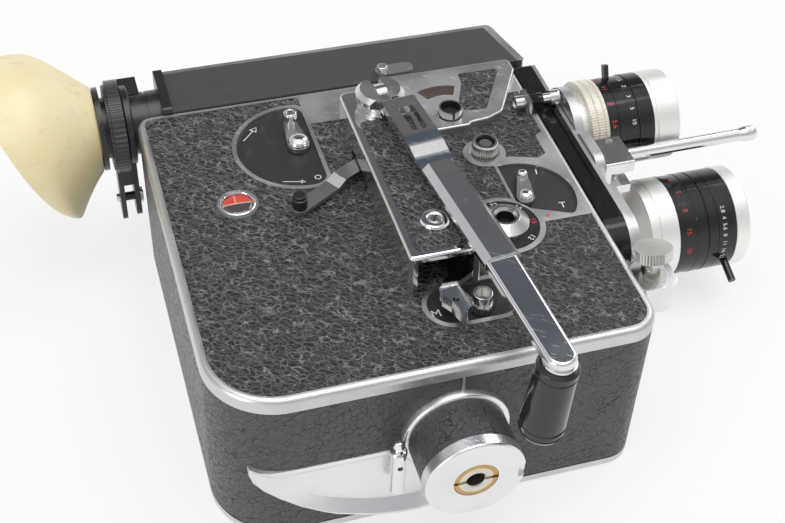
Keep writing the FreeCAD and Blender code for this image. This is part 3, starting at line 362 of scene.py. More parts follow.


# This finish also carries painted shade: the claw screw's groove and the cross-bore in the foot
# post.
black_enamel_and_shade = enamel("black enamel", (0.020, 0.020, 0.021), (0.07, 0.07, 0.072), 0.34)
white_fill = enamel("white fill", (0.72, 0.72, 0.70), (0.42, 0.42, 0.40), 0.5)
red_fill = enamel("red fill", (0.62, 0.04, 0.035), (0.35, 0.03, 0.03), 0.5)
dress(black_enamel_and_shade, "motor_dial_plate", "mode_dial_plate", "rewind_dial_plate")

marks = bmesh.new()
add_arrow(marks, x=-35.5, y=57.5, turn=47, length=9.5, wing=1.5)
add_arrow(marks, x=-25.6, y=26.4, turn=-14, length=8.5, wing=0.9)
add_words(marks, "O", 2.4, standing(-16.6, 26.6, DIAL_LEVEL))
piece("motor_dial_marks", marks, white_fill, "camera")

marks = bmesh.new()
add_words(marks, "I", 3.0, standing(62.6, 9.3, DIAL_LEVEL, -12))
add_words(marks, "T", 3.0, standing(65.4, -10.5, DIAL_LEVEL, -5))
piece("mode_dial_marks", marks, white_fill, "camera")

marks = bmesh.new()
add_words(marks, "M", 3.2, standing(4.2, -51.0, DIAL_LEVEL, 3))
piece("rewind_dial_mark", marks, white_fill, "camera")


# Running indicator: a small round window in the leather. A red and a dark half
# show behind a slightly domed glass, held by a turned and chromed bezel in a
# dark collar.
def turned(profile, centre, axis, steps=72):
    """Closed ring spun from (radius, height along the axis) points in millimetres."""
    along = Vector([float(letter == axis) for letter in "XYZ"])
    out = Vector((0, 0, 1)) if axis == "Y" else Vector((0, 1, 0))
    middle = Vector(centre) * MM
    shape = bmesh.new()
    spots = [
        shape.verts.new(middle + (out * radius + along * height) * MM)
        for radius, height in profile
    ]
    for first, second in zip(spots, spots[1:] + spots[:1]):
        shape.edges.new((first, second))
    bmesh.ops.spin(
        shape, geom=shape.verts[:] + shape.edges[:], cent=middle, axis=along,
        dvec=(0, 0, 0), angle=2 * math.pi, steps=steps, use_merge=True,
    )
    bmesh.ops.remove_doubles(shape, verts=shape.verts, dist=MERGE_GAP)
    return shape


bright_chrome = metal(
    "bright chrome", (0.84, 0.84, 0.84), (0.72, 0.72, 0.73), 0.05, 0.15, 0.003)
collar_metal = metal(
    "window collar", (0.20, 0.20, 0.20), (0.12, 0.12, 0.12), 0.3, 0.45, 0.01)


def chrome_piece(name, shape, body):
    """Small piece of bright chrome."""
    return piece(name, shape, bright_chrome, body)


WINDOW_PLACE = (-48.3, 18.3, 0.0)
BEZEL = [(5.7, 70.5), (5.65, 70.9), (5.85, 71.15), (6.1, 71.2), (6.35, 71.05), (6.4, 70.5)]
WINDOW_COLLAR = [(6.35, 70.5), (6.4, 70.85), (7.4, 70.8), (7.9, 70.7), (8.1, 70.5)]
chrome_piece("window_bezel", turned(BEZEL, WINDOW_PLACE, "Z"), "camera")
collar = turned(WINDOW_COLLAR, WINDOW_PLACE, "Z")
piece("window_collar", collar, collar_metal, "camera")

SEAM_LOW, SEAM_MIDDLE, SEAM_HIGH = 18.1 * MM, 18.4 * MM, 18.7 * MM
STRIPE_LEFT, STRIPE_RIGHT = -49.3 * MM, -48.6 * MM
ruby = Finish("ruby window")
height = ruby.axis("Y")
across = ruby.axis("X")
upper = height > SEAM_MIDDLE
seam = (height > SEAM_LOW) * (height < SEAM_HIGH)
stripe = (across > STRIPE_LEFT) * (across < STRIPE_RIGHT) * upper
smear = ruby.noise(ruby.place, 700.0, 3.0)
red_half = ruby.blend(smear, (0.72, 0.105, 0.06), (0.50, 0.045, 0.025))
halves = ruby.blend(upper, (0.075, 0.06, 0.058), red_half)
halves = ruby.blend(0.6 * seam + 0.35 * stripe, halves, (0.75, 0.62, 0.52))
ruby.surface(
    halves, 0.06 + 0.1 * smear, smear, 0.01 * MM, Coat_Weight=1.0, Coat_Roughness=0.03)
dress(ruby, "indicator_window")


# Footage counter: a brown dial under a curved opening of the raised plate, with
# a folding knob that stands on the plate to reset it.
counter_brown = Finish("counter brown")
grain = counter_brown.noise(counter_brown.place, 1400.0, 3.0)
warm = counter_brown.noise(counter_brown.place, 120.0, 2.0)
warm = counter_brown.between(warm, 0.35, 0.65)
tan = counter_brown.blend(warm, (0.16, 0.075, 0.05), (0.09, 0.045, 0.032))
counter_brown.surface(tan, 0.3 + 0.15 * grain, grain, 0.01 * MM)
dress(counter_brown, "counter_dial")

COUNTER_CENTRE = Vector((40.3, 45.2, 0.0))
COUNTER_FACE = 68.81
COUNTER_LEVEL = 68.84
COUNTER_TOP = 68.85
DIVISIONS = 72
DIVISION_RIM = 17.9
SHORT_DIVISION, LONG_DIVISION = 1.4, 2.4
HALF_DIVISION = 0.13
COUNTER_FIGURES = 12
FIGURE_RADIUS = 13.8
FIGURE_HEIGHT = 1.9
marks = bmesh.new()
for number in range(DIVISIONS):
    angle = math.radians(number * 360 / DIVISIONS)
    reach = SHORT_DIVISION if number % 2 else LONG_DIVISION
    outward = Vector((math.cos(angle), math.sin(angle), 0))
    side = Vector((-outward.y, outward.x, 0)) * HALF_DIVISION
    start = COUNTER_CENTRE + outward * (DIVISION_RIM - reach)
    end = COUNTER_CENTRE + outward * DIVISION_RIM
    corners = (start - side, end - side, end + side, start + side)
    outline = [(corner.x, corner.y) for corner in corners]
    add_plate(marks, outline, COUNTER_FACE, COUNTER_TOP)
for number in range(COUNTER_FIGURES):
    degrees = number * 360 / COUNTER_FIGURES
    angle = math.radians(degrees + 15)
    x = COUNTER_CENTRE.x + FIGURE_RADIUS * math.cos(angle)
    y = COUNTER_CENTRE.y + FIGURE_RADIUS * math.sin(angle)
    place = standing(x, y, COUNTER_LEVEL, degrees - 75)
    add_words(marks, str(number * 10), FIGURE_HEIGHT, place)
piece("counter_marks", marks, white_fill, "footage_counter")


# Finger knobs and the speed dial: turned brass, knurled and nickelled. The dial's
# skirt is black, with filled figures that are read against a red dot.
nickel = metal("knob nickel", (0.74, 0.73, 0.70), (0.56, 0.55, 0.52), 0.14, 0.26, 0.008)
SQUARE_TO_Z = (1, 1, 0)
SQUARE_TO_Y = (1, 0, 1)
PLATE_LEVEL = 72.0 * MM


def hollow_knob(name, x, y, radius, brim, screw=0.0):
    """Nickel knob with painted shade inside: below its brim it is coloured near black and not
    metallic, round a bright screw of one radius.
    """
    finish = Finish(name)
    away = finish.away_from((x, y, 0), SQUARE_TO_Z)
    level = finish.axis("Z")
    # Painted shade: the inside of the knob below its brim is coloured near black and not metallic.
    shaded_hollow = (away < radius * MM) * (away > screw * MM) * (level < brim * MM)
    shaded_hollow = shaded_hollow * (level > PLATE_LEVEL)
    cloud = finish.noise(finish.place, 160.0, 3.0)
    fine = finish.noise(finish.place, 2600.0, 2.0)
    bright = finish.blend(cloud, (0.76, 0.75, 0.72), (0.58, 0.57, 0.54))
    shade = finish.blend(shaded_hollow, bright, (0.016, 0.016, 0.016))
    polish = 0.14 + 0.14 * cloud + 0.3 * shaded_hollow
    return finish.surface(shade, polish, fine, 0.008 * MM, Metallic=1.0 - shaded_hollow)


dress(hollow_knob(
    "frame knob nickel", x=47.0, y=23.4, radius=3.72, brim=75.3, screw=2.35), "frame_knob")
dress(hollow_knob(
    "counter knob chrome", COUNTER_CENTRE.x, COUNTER_CENTRE.y, radius=4.0, brim=77.3,
), "counter_knob")
dress(nickel, "rewind_shaft")

SPEED_CENTRE = (40.5, -16.7)
SPEED_SKIRT_TOP = 70.82
SPEED_HOLE_RADIUS = 3.35
SPEED_HOLE_BRIM = 75.0
dial = Finish("speed dial")
level = dial.axis("Z")
# Painted shade: below its brim, the bore in the dial's top is coloured near black and not
# metallic. The skirt is black paint.
shaded_hole = dial.away_from((*SPEED_CENTRE, 0), SQUARE_TO_Z) < SPEED_HOLE_RADIUS * MM
dark_with_shade = (level < SPEED_SKIRT_TOP * MM).either(shaded_hole * (level < SPEED_HOLE_BRIM * MM))
cloud = dial.noise(dial.place, 200.0, 3.0)
fine = dial.noise(dial.place, 2600.0, 2.0)
bright = dial.blend(cloud, (0.74, 0.74, 0.73), (0.56, 0.56, 0.56))
dial.surface(
    dial.blend(dark_with_shade, bright, (0.012, 0.012, 0.013)), 0.16 + 0.12 * cloud + 0.14 * dark_with_shade,
    fine, 0.008 * MM, Metallic=1.0 - dark_with_shade,
)
dress(dial, "speed_dial")

SPEEDS = ("8", "12", "16", "24", "32", "48", "64")
MARKED_SPEED = "16"
SPEED_FIGURE_RADIUS = 11.0
SPEED_FIGURE_LEVEL = 70.83
SPEED_FIGURE_HEIGHT = 2.1
SPEED_STEP = 46
FIRST_SPEED = -94


def speed_figures(chosen):
    """Chosen figures, each in its own place round the dial's skirt."""
    shape = bmesh.new()
    for place, figure in enumerate(SPEEDS):
        if figure not in chosen:
            continue
        turn = math.radians(SPEED_STEP * place + FIRST_SPEED)
        x = SPEED_CENTRE[0] + SPEED_FIGURE_RADIUS * math.cos(turn)
        y = SPEED_CENTRE[1] + SPEED_FIGURE_RADIUS * math.sin(turn)
        upright = standing(x, y, SPEED_FIGURE_LEVEL, math.degrees(turn) - 90)
        add_words(shape, figure, SPEED_FIGURE_HEIGHT, upright)
    return shape


plain_speeds = [figure for figure in SPEEDS if figure != MARKED_SPEED]
piece("speed_figures", speed_figures(plain_speeds), white_fill, "speed_dial")
piece("speed_red_figure", speed_figures([MARKED_SPEED]), red_fill, "speed_dial")
DOT = [(0.0, 70.88), (0.75, 70.88), (0.72, 70.98), (0.0, 71.0)]
DOT_PLACE = (57.5, -15.6, 0.0)
piece("speed_red_dot", turned(DOT, DOT_PLACE, "Z", 24), red_fill, "camera")


# Starting lever, mode lever and release. The levers are stamped steel with a
# satin nickel finish, and have a chromed cap and pin. The release is a chromed
# plunger in a turned sleeve on a black block.
def lever_finish(name, level):
    """Satin steel blade below a level, chrome cap and pin above it."""
    finish = Finish(name)
    cap = finish.axis("Z") > level * MM
    cloud = finish.noise(finish.place, 120.0, 3.0)
    fine = finish.noise(finish.place, 2600.0, 2.0)
    blade = finish.blend(cloud, (0.50, 0.49, 0.47), (0.36, 0.35, 0.33))
    shade = finish.blend(cap, blade, (0.82, 0.81, 0.78))
    polish = (1.0 - cap) * (0.28 + 0.14 * cloud) + cap * 0.08
    return finish.surface(shade, polish, fine, 0.01 * MM, Metallic=1.0)


dress(lever_finish("starting lever", 72.05), "motor_lever")
dress(lever_finish("mode lever steel", 71.65), "mode_lever")

STARTING_AXIS = (-19.5, 45.0, 0)
STARTING_PIN = (-19.8, 57.2, 0)
MODE_AXIS = (53.0, -4.8, 0)
CAP_DOME = [
    (0.0, 73.2), (3.75, 73.2), (3.7, 73.5), (3.3, 74.1), (2.4, 74.6), (1.2, 74.9), (0.0, 75.0),
]
PIN_DISH = [
    (0.0, 77.1), (2.4, 77.1), (2.45, 77.4), (2.1, 77.7), (1.6, 77.7), (1.2, 77.35), (0.0, 77.25),
]
MODE_DOME = [(0.0, 72.9), (2.5, 72.9), (2.45, 73.1), (2.0, 73.6), (1.1, 73.9), (0.0, 74.0)]
chrome_piece("starting_lever_cap", turned(CAP_DOME, STARTING_AXIS, "Z", 48), "motor_lever")
chrome_piece("starting_lever_pin", turned(PIN_DISH, STARTING_PIN, "Z", 48), "motor_lever")
chrome_piece("mode_lever_cap", turned(MODE_DOME, MODE_AXIS, "Z", 48), "mode_lever")

SLEEVE_END = 72.6 * MM
release = Finish("release block")
block = release.axis("X") > SLEEVE_END
cloud = release.noise(release.place, 90.0, 3.0)
fine = release.noise(release.place, 2600.0, 2.0)
bright = release.blend(cloud, (0.84, 0.84, 0.84), (0.70, 0.70, 0.70))
release.surface(
    release.blend(block, bright, (0.012, 0.012, 0.013)), 0.08 + 0.08 * cloud,
    fine, 0.004 * MM, Metallic=1.0 - block,
)
dress(release, "release_block")
dress(bright_chrome, "release_plunger", "clamp_bracket")
dress(nickel, "clamp_screw")


# Fader housing: a chromed bridge over the leather with a leather top let in, a
# satin swing lever with a black knob, and the polished hook at its lower end in
# an eyelet with a screw whose groove is drawn as a thin black plate on its head:
# painted shade.
dress(bright_chrome, "fader_housing", "fader_claw")

CLAW_AXIS = (11.0, -25.0, 0)
EYELET = [
    (2.1, 87.6), (2.2, 88.1), (2.7, 88.45), (3.5, 88.5), (4.6, 88.2), (5.1, 87.5), (5.1, 86.9),
    (2.1, 86.9),
]
SCREW_HEAD = [(0.0, 87.5), (1.9, 87.5), (1.95, 88.0), (1.6, 88.3), (0.0, 88.4)]
SCREW_SLOT_SHADE = [(9.7, -26.3), (10.1, -26.7), (12.3, -23.7), (11.9, -23.3)]
SLOT_SHADE_LOW, SLOT_SHADE_HIGH = 88.36, 88.46
chrome_piece("claw_eyelet", turned(EYELET, CLAW_AXIS, "Z"), "camera")
screw = turned(SCREW_HEAD, CLAW_AXIS, "Z", 48)
piece("claw_screw", screw, nickel, "fader_claw")
# Painted shade: the screw's groove is a thin black plate laid on the head.
slot_shade = bmesh.new()
add_plate(slot_shade, SCREW_SLOT_SHADE, SLOT_SHADE_LOW, SLOT_SHADE_HIGH)
piece("claw_screw_slot_shade", slot_shade, black_enamel_and_shade, "fader_claw")

KNOB_FOOT = 74.3 * MM
KNOB_RIGHT = -20 * MM
swing = Finish("fader lever steel")
knob = (swing.axis("Z") > KNOB_FOOT) * (swing.axis("X") < KNOB_RIGHT)
cloud = swing.noise(swing.place, 90.0, 3.0)
fine = swing.noise(swing.place, 2600.0, 2.0)
blade = swing.blend(cloud, (0.56, 0.55, 0.53), (0.40, 0.39, 0.37))
swing.surface(
    swing.blend(knob, blade, (0.014, 0.014, 0.015)), 0.24 + 0.14 * cloud,
    fine, 0.01 * MM, Metallic=1.0 - knob,
)
dress(swing, "fader_lever")


# Winding crank: a forged and chromed arm, polished unevenly by the hand, that
# folds on a pin through the slotted hub. Its outer bar carries the handle, which
# is turned from black plastic.
hub_nickel = metal("hub nickel", (0.80, 0.80, 0.80), (0.64, 0.64, 0.64), 0.14, 0.28, 0.006)
dress(hub_nickel, "crank_hub")
dress(bright_chrome, "crank_arm", "crank_bar", "crank_pin")

plastic = Finish("black plastic")
swirl = plastic.noise(plastic.stretched((200, 200, 40)), 1.0, 4.0)
fine = plastic.noise(plastic.place, 1800.0, 3.0)
shade = plastic.blend(swirl, (0.006, 0.006, 0.007), (0.014, 0.013, 0.013))
plastic.surface(
    shade, 0.06 + 0.06 * swirl, fine, 0.004 * MM, Coat_Weight=0.3, Coat_Roughness=0.04)
dress(plastic, "crank_handle")


# Finder along the top of the camera: a sheet housing in black crackle paint with
# a slanted front window, a bare edge strip along it, and a satin slide.
crackle = Finish("crackle paint")
wander = crackle.noise(crackle.place, 700.0, 2.0, "Color")
grid = crackle.pushed(wander, 0.9, crackle.stretched((1500, 1500, 1500)))
cell = crackle.cells(grid, "F1")
dust = crackle.noise(crackle.place, 260.0, 4.0)
shade = crackle.blend(0.6 * cell + 0.4 * dust, (0.030, 0.031, 0.033), (0.062, 0.063, 0.066))
crackle.surface(shade, 0.42 + 0.2 * cell, 1.0 - cell, 0.05 * MM)
dress(crackle, "finder_box")
dress(satin_nickel, "finder_strip", "finder_slide")

glass = Finish("coated glass")
tint = glass.noise(glass.place, 60.0, 1.0)
shade = glass.blend(tint, (0.012, 0.012, 0.020), (0.022, 0.014, 0.030))
glass.surface(
    shade, 0.03 + 0.03 * tint, tint, 0.002 * MM,
    IOR=1.8, Coat_Weight=1.0, Coat_Roughness=0.02,
)

FRONT_NEAR = Vector((82.7, 75.9, 58.0))
FRONT_FAR = Vector((76.6, 103.3, 58.0))
HALF_WIDTH, HALF_HEIGHT = 8.2, 7.4
GLASS_THICKNESS = 0.6
window = bmesh.new()
add_plate(window, [
    (-HALF_WIDTH, -HALF_HEIGHT), (HALF_WIDTH, -HALF_HEIGHT),
    (HALF_WIDTH, HALF_HEIGHT), (-HALF_WIDTH, HALF_HEIGHT),
], 0, GLASS_THICKNESS)
bmesh.ops.bevel(
    window, geom=window.edges[:], offset=0.5 * MM, affect="EDGES", segments=2,
    profile=0.5, material=-1,
)
slant = (FRONT_NEAR - FRONT_FAR).normalized()
facing = Vector((-slant.y, slant.x, 0))
turn = Matrix((-slant, Vector((0, 0, 1)), facing)).transposed().to_4x4()
middle = (FRONT_NEAR + FRONT_FAR) / 2
bmesh.ops.transform(window, matrix=Matrix.Translation(middle * MM) @ turn, verts=window.verts)
piece("finder_front_glass", window, glass, "camera")


# Eyepiece: a black anodised tube with a milled focus ring, held by a two-eared
# clamp with a bright screw and nut, and a small lens behind the sight hole.
def milled_ring(name, centre, count, colour, worn, smooth, metallic):
    """Ring about an axis along X at (y, z), with fine milled teeth all round."""
    finish = Finish(name)
    offset = finish.offset_from((0, *centre))
    turn = finish.axis("Z", offset).angle(finish.axis("Y", offset))
    teeth = finish.between((turn * float(count)).sine(), -0.5, 0.5)
    cloud = finish.noise(finish.place, 90.0, 3.0)
    shade = finish.blend(0.7 * cloud + 0.3 * (1.0 - teeth), colour, worn)
    return finish.surface(shade, smooth + 0.1 * cloud, teeth, 0.22 * MM, Metallic=metallic)


anodised = enamel("black anodising", (0.014, 0.013, 0.014), (0.06, 0.055, 0.055), 0.22)
dress(anodised, "eyepiece_tube")
EYE_CENTRE = (0.0, 89.0, 58.5)
dress(milled_ring(
    "eyepiece focus ring", EYE_CENTRE[1:], 56,
    (0.014, 0.013, 0.014), (0.05, 0.05, 0.05), 0.25, 0.0,
), "eyepiece_ring")

CLAMP_FRONT = -77.15 * MM
CLAMP_BACK = -85.25 * MM
clamp = Finish("eyepiece clamp")
across = clamp.axis("X")
ends = (across > CLAMP_FRONT).either(across < CLAMP_BACK)
dust = clamp.noise(clamp.place, 900.0, 4.0)
bright = clamp.blend(dust, (0.80, 0.80, 0.80), (0.66, 0.66, 0.66))
black = clamp.blend(dust, (0.014, 0.013, 0.014), (0.04, 0.04, 0.04))
shade = clamp.blend(ends, black, bright)
clamp.surface(shade, 0.2 + 0.1 * dust - 0.1 * ends, dust, 0.01 * MM, Metallic=ends)
dress(clamp, "eyepiece_clamp")

EYE_LENS = [(0.0, -87.4), (9.0, -87.4), (9.0, -87.9), (6.0, -88.6), (3.0, -88.95), (0.0, -89.05)]
piece("eyepiece_lens", turned(EYE_LENS, EYE_CENTRE, "X"), glass, "camera")


# Eyecup: moulded cream rubber, yellowed with age. A short neck is stretched over
# the eyepiece flange, the wall swells to a round shoulder, and the slanted mouth
# ends in a thin rolled lip.
EYECUP_OUTER = [
    (9.6, -90.2), (16.4, -90.2), (17.0, -90.8), (18.4, -92.4), (21.2, -95.2), (24.6, -98.4),
    (28.2, -101.8), (31.4, -105.0), (33.0, -107.6), (33.4, -109.8), (33.2, -112.4),
    (32.5, -114.8), (31.9, -116.4), (31.7, -117.2), (31.2, -117.7), (30.4, -117.6),
    (30.0, -117.0),
]
EYECUP_INNER = [
    (30.1, -115.6), (30.9, -113.4), (31.3, -110.2), (30.8, -107.6), (28.6, -104.6),
    (24.8, -101.0), (20.6, -97.2), (17.2, -94.0), (15.4, -92.2), (9.6, -91.8),
]
EYECUP_SLANT = [
    (-90.0, 0.0), (-97.5, 0.08), (-104.5, 0.16), (-108.5, 0.24), (-112.5, 0.34),
    (-117.4, 0.46), (-119.0, 0.50),
]


def slant_at(x):
    """How far a cross-section of the eyecup leans back at one x."""
    for (first, low), (second, high) in zip(EYECUP_SLANT, EYECUP_SLANT[1:]):
        if first >= x >= second:
            return low + (high - low) * (first - x) / (first - second)
    return EYECUP_SLANT[0][1] if x > EYECUP_SLANT[0][0] else EYECUP_SLANT[-1][1]


cup = turned(EYECUP_OUTER + EYECUP_INNER, EYE_CENTRE, "X", 96)
for corner in cup.verts:
    rise = corner.co.z - EYE_CENTRE[2] * MM
    corner.co.x -= slant_at(corner.co.x / MM) * rise

rubber = Finish("cream rubber")
blotch = rubber.between(rubber.noise(rubber.place, 28.0, 3.0), 0.3, 0.72)
fine = rubber.noise(rubber.place, 1500.0, 3.0)
creases = rubber.noise(rubber.stretched((40, 260, 260), (0, 0.35, 0)), 1.0, 3.0)
creases = rubber.between(creases, 0.58, 0.72)
# Darker and browner towards the bottom, in blotches.
low_side = rubber.between(rubber.axis("Z"), 20 * MM, 40 * MM, 1.0, 0.0)
shade = rubber.blend(blotch, (0.74, 0.63, 0.35), (0.80, 0.71, 0.45))
shade = rubber.blend(0.3 * creases, shade, (0.58, 0.46, 0.22))
shade = rubber.blend(0.15 * low_side * blotch, shade, (0.60, 0.48, 0.24))
rubber.surface(shade, 0.42 + 0.16 * blotch, 0.3 * fine + 0.7 * creases, 0.05 * MM)
cup_piece = piece("eyecup_rubber", cup, rubber, "eyecup")
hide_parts("eyecup")
round_wall = cup_piece.modifiers.new("round wall", "SUBSURF")
round_wall.levels = 1
round_wall.render_levels = 1


# Turret lever: a polished steel rod that folds out of a slotted block, which is
# chromed and screwed to the turret disc.
steel_rod = metal(
    "polished steel rod", (0.86, 0.86, 0.86), (0.74, 0.74, 0.75), 0.12, 0.20, 0.002)
dress(bright_chrome, "turret_block")
dress(steel_rod, "turret_lever")


# Lenses: barrels of turned aluminium, left bright behind and in front and black
# enamelled between, with filled figures. The wide lens has a milled cream ring;
# the other rings and the housing behind the turret are gloss black.
def lens_barrel(name, start, end):
    """Bright barrel with one black enamelled length along X, in millimetres."""
    finish = Finish(name)
    along = finish.axis("X")
    painted = (along > start * MM) * (along < end * MM)
    cloud = finish.noise(finish.place, 70.0, 3.0)
    turning = finish.noise(finish.stretched((2600, 8, 8)), 1.0, 2.0)
    bare = finish.blend(cloud, (0.94, 0.93, 0.91), (0.86, 0.84, 0.80))
    shade = finish.blend(painted, bare, (0.010, 0.010, 0.011))
    polish = 0.40 + 0.08 * cloud - 0.32 * painted
    return finish.surface(
        shade, polish, turning * (1.0 - painted), 0.006 * MM, Metallic=0.85 * (1.0 - painted))


WIDE_CENTRE = (41.43, 60.61)
LONG_CENTRE = (9.59, 28.77)
dress(lens_barrel("wide lens barrel", 99.7, 118.4), "wide_lens_barrel")
dress(lens_barrel("long lens barrel", 119.3, 143.7), "long_lens_barrel")
gloss_black = enamel("gloss black", (0.008, 0.008, 0.009), (0.03, 0.03, 0.03), 0.05)
dress(gloss_black, "wide_lens_iris", "long_lens_iris", "long_lens_ring", "front_housing")
dress(milled_ring(
    "cream lens ring", WIDE_CENTRE, 110, (0.86, 0.83, 0.75), (0.74, 0.68, 0.55), 0.3, 0.4,
), "wide_lens_ring")
dress(glass, "lens_glass")


def on_barrel(centre, radius, x, angle):
    """Placement on a lens barrel, for figures that are read from behind the camera."""
    turn = math.radians(angle)
    outward = Vector((0, math.cos(turn), math.sin(turn)))
    rise = Vector((1, 0, 0))
    run = rise.cross(outward)
    spot = Vector((x, centre[0] + radius * outward.y, centre[1] + radius * outward.z))
    return Matrix.Translation(spot * MM) @ Matrix((run, rise, outward)).transposed().to_4x4()


def barrel_scale(words, height, centre, radius, x, first, step):
    """Figures round a barrel from a first angle on, in steps of degrees."""
    shape = bmesh.new()
    for place, word in enumerate(words):
        add_words(shape, word, height, on_barrel(centre, radius, x, first + step * place))
    return shape


APERTURES = ("2.8", "4", "5.6", "8", "11", "16", "22")
WIDE_RADIUS = 17.62
scale = barrel_scale(APERTURES[::-1], 1.9, WIDE_CENTRE, WIDE_RADIUS, 101.8, 40, 26)
piece("wide_lens_red_figures", scale, red_fill, "turret")
distances = ("1", "1.5", "2", "3", "5", "10")
scale = barrel_scale(distances, 1.7, WIDE_CENTRE, WIDE_RADIUS, 109.9, 60, 17)
piece("wide_lens_white_figures", scale, white_fill, "wide_lens_iris")
distances = ("3", "4", "5", "8", "15", "30")
scale = barrel_scale(distances, 2.0, LONG_CENTRE, 19.82, 123.4, 50, 24)
piece("long_lens_red_figures", scale, red_fill, "long_lens_ring")
scale = barrel_scale(APERTURES, 1.7, LONG_CENTRE, 20.03, 138.6, 128, 10)
piece("long_lens_white_figures", scale, white_fill, "long_lens_iris")


# Tripod boss and foot: a leather-covered boss with a turned cap of bright
# aluminium in a round collar, and beside it the curved foot, a shallow tray with
# a soft rim that lies on the wall and has a chromed post.
bare_aluminium = metal(
    "bare aluminium", (0.82, 0.82, 0.82), (0.74, 0.74, 0.75), 0.24, 0.34, 0.01)
dress(bare_aluminium, "boss_cap")

FOOT_EDGE = [
    (-65.9, -74.5, 35.9), (-64.8, -76.0, 32.9), (-61.7, -77.5, 29.6), (-56.9, -79.0, 25.8),
    (-50.0, -80.2, 20.6), (-42.8, -80.8, 16.0), (-38.0, -81.0, 13.2), (-32.0, -81.0, 10.7),
    (-27.5, -81.0, 8.9), (-23.1, -81.0, 7.4), (-18.6, -81.0, 6.4), (-14.2, -81.0, 5.6),
    (-8.0, -81.0, 5.3), (-3.6, -80.9, 6.2), (-0.8, -80.7, 8.6), (0.8, -80.4, 12.4),
    (1.4, -80.0, 18.0), (1.4, -79.6, 24.0), (1.4, -77.2, 36.2), (-20.6, -77.2, 36.4),
    (-31.2, -77.2, 36.5), (-41.7, -77.2, 36.6), (-52.1, -77.2, 36.8), (-59.2, -76.8, 36.9),
    (-62.6, -75.8, 37.2), (-64.3, -75.0, 37.9), (-65.6, -74.3, 38.0),
]
TRAY_EDGE = [
    (-56.6, -77.1, 33.4), (-55.9, -77.1, 31.4), (-53.0, -77.1, 28.4), (-47.8, -77.1, 24.0),
    (-43.1, -77.1, 20.7), (-38.6, -77.1, 18.1), (-32.0, -77.1, 15.2), (-25.8, -77.1, 12.9),
    (-20.8, -77.1, 11.5), (-15.9, -77.1, 10.7), (-9.0, -77.1, 10.2), (-5.0, -77.1, 11.3),
    (-3.0, -77.1, 14.0), (-2.4, -77.1, 18.0), (-2.4, -76.9, 33.4), (-20.6, -76.9, 33.6),
    (-29.2, -76.9, 33.7), (-41.8, -76.9, 33.8), (-50.0, -76.9, 33.9), (-54.6, -76.9, 33.8),
]
RIM_CENTRE = (-30, 22)
CREST_INSET = (0.035, 0.085)
CREST_RISE = 0.25
rim_crest = [
    (
        x + CREST_INSET[0] * (RIM_CENTRE[0] - x),
        y - CREST_RISE,
        z + CREST_INSET[1] * (RIM_CENTRE[1] - z),
    )
    for x, y, z in FOOT_EDGE
]
TIP_START = -58
BEHIND_WALL, BEHIND_CORNER = -75.9, -71.0
wall_line = [(x, BEHIND_WALL if x > TIP_START else BEHIND_CORNER, z) for x, y, z in FOOT_EDGE]


def add_loop(shape, points):
    """Closed line of edges through (x, y, z) points in millimetres."""
    spots = [shape.verts.new(Vector(point) * MM) for point in points]
    return [shape.edges.new(pair) for pair in zip(spots, spots[1:] + spots[:1])]


foot = bmesh.new()
against_wall, edge, crest, tray = [
    add_loop(foot, points) for points in (wall_line, FOOT_EDGE, rim_crest, TRAY_EDGE)
]
bmesh.ops.bridge_loops(foot, edges=against_wall + edge)
bmesh.ops.bridge_loops(foot, edges=edge + crest)
bmesh.ops.bridge_loops(foot, edges=crest + tray)
bmesh.ops.triangle_fill(foot, edges=tray, use_beauty=True)
bmesh.ops.bevel(
    foot, geom=edge + crest + tray, offset=0.4 * MM, affect="EDGES", segments=3,
    profile=0.5, material=-1, clamp_overlap=True,
)
foot_piece = piece("foot_tray", foot, bare_aluminium, "camera")
BOSS_AXIS = (4.0, 0, 40.5)
COLLAR = [
    (16.9, -75.9), (18.9, -75.9), (18.9, -78.7), (18.6, -79.2), (18.1, -79.5), (16.9, -79.5),
]
collar = turned(COLLAR, BOSS_AXIS, "Y", 96)
piece("foot_collar", collar, bare_aluminium, "camera")
POST = [
    (0.0, 20.5), (2.2, 20.5), (2.6, 21.0), (2.6, 40.0), (2.9, 40.3), (2.9, 41.2), (2.5, 41.6),
    (1.4, 41.8), (1.3, 42.5), (1.8, 43.0), (2.1, 44.0), (1.9, 45.2), (1.2, 46.1), (0.0, 46.4),
]
POST_AXIS = (-17.0, -81.7, 0)
# Painted shade: the cross-bore in the post is a thin black disc laid on its side.
SHADED_POST_HOLE = [(0.0, -84.36), (0.95, -84.36), (0.95, -84.1), (0.0, -84.1)]
SHADED_POST_HOLE_AXIS = (-17.0, 0, 34.8)
chrome_piece("foot_post", turned(POST, POST_AXIS, "Z", 48), "camera")
shaded_hole = turned(SHADED_POST_HOLE, SHADED_POST_HOLE_AXIS, "Y", 24)
piece("foot_post_hole_shade", shaded_hole, black_enamel_and_shade, "camera")
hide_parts("base_foot")

bush = Finish("brass and nickel bush")
BUSH_CORE = 5.9 * MM
rim = bush.away_from(BOSS_AXIS, SQUARE_TO_Y) > BUSH_CORE
cloud = bush.noise(bush.place, 300.0, 3.0)
brass = bush.blend(cloud, (0.62, 0.40, 0.17), (0.42, 0.27, 0.11))
core = bush.blend(cloud, (0.78, 0.74, 0.64), (0.58, 0.54, 0.45))
bush.surface(
    bush.blend(rim, core, brass), 0.22 + 0.12 * cloud, cloud, 0.01 * MM, Metallic=1.0)
dress(bush, "tripod_bush")


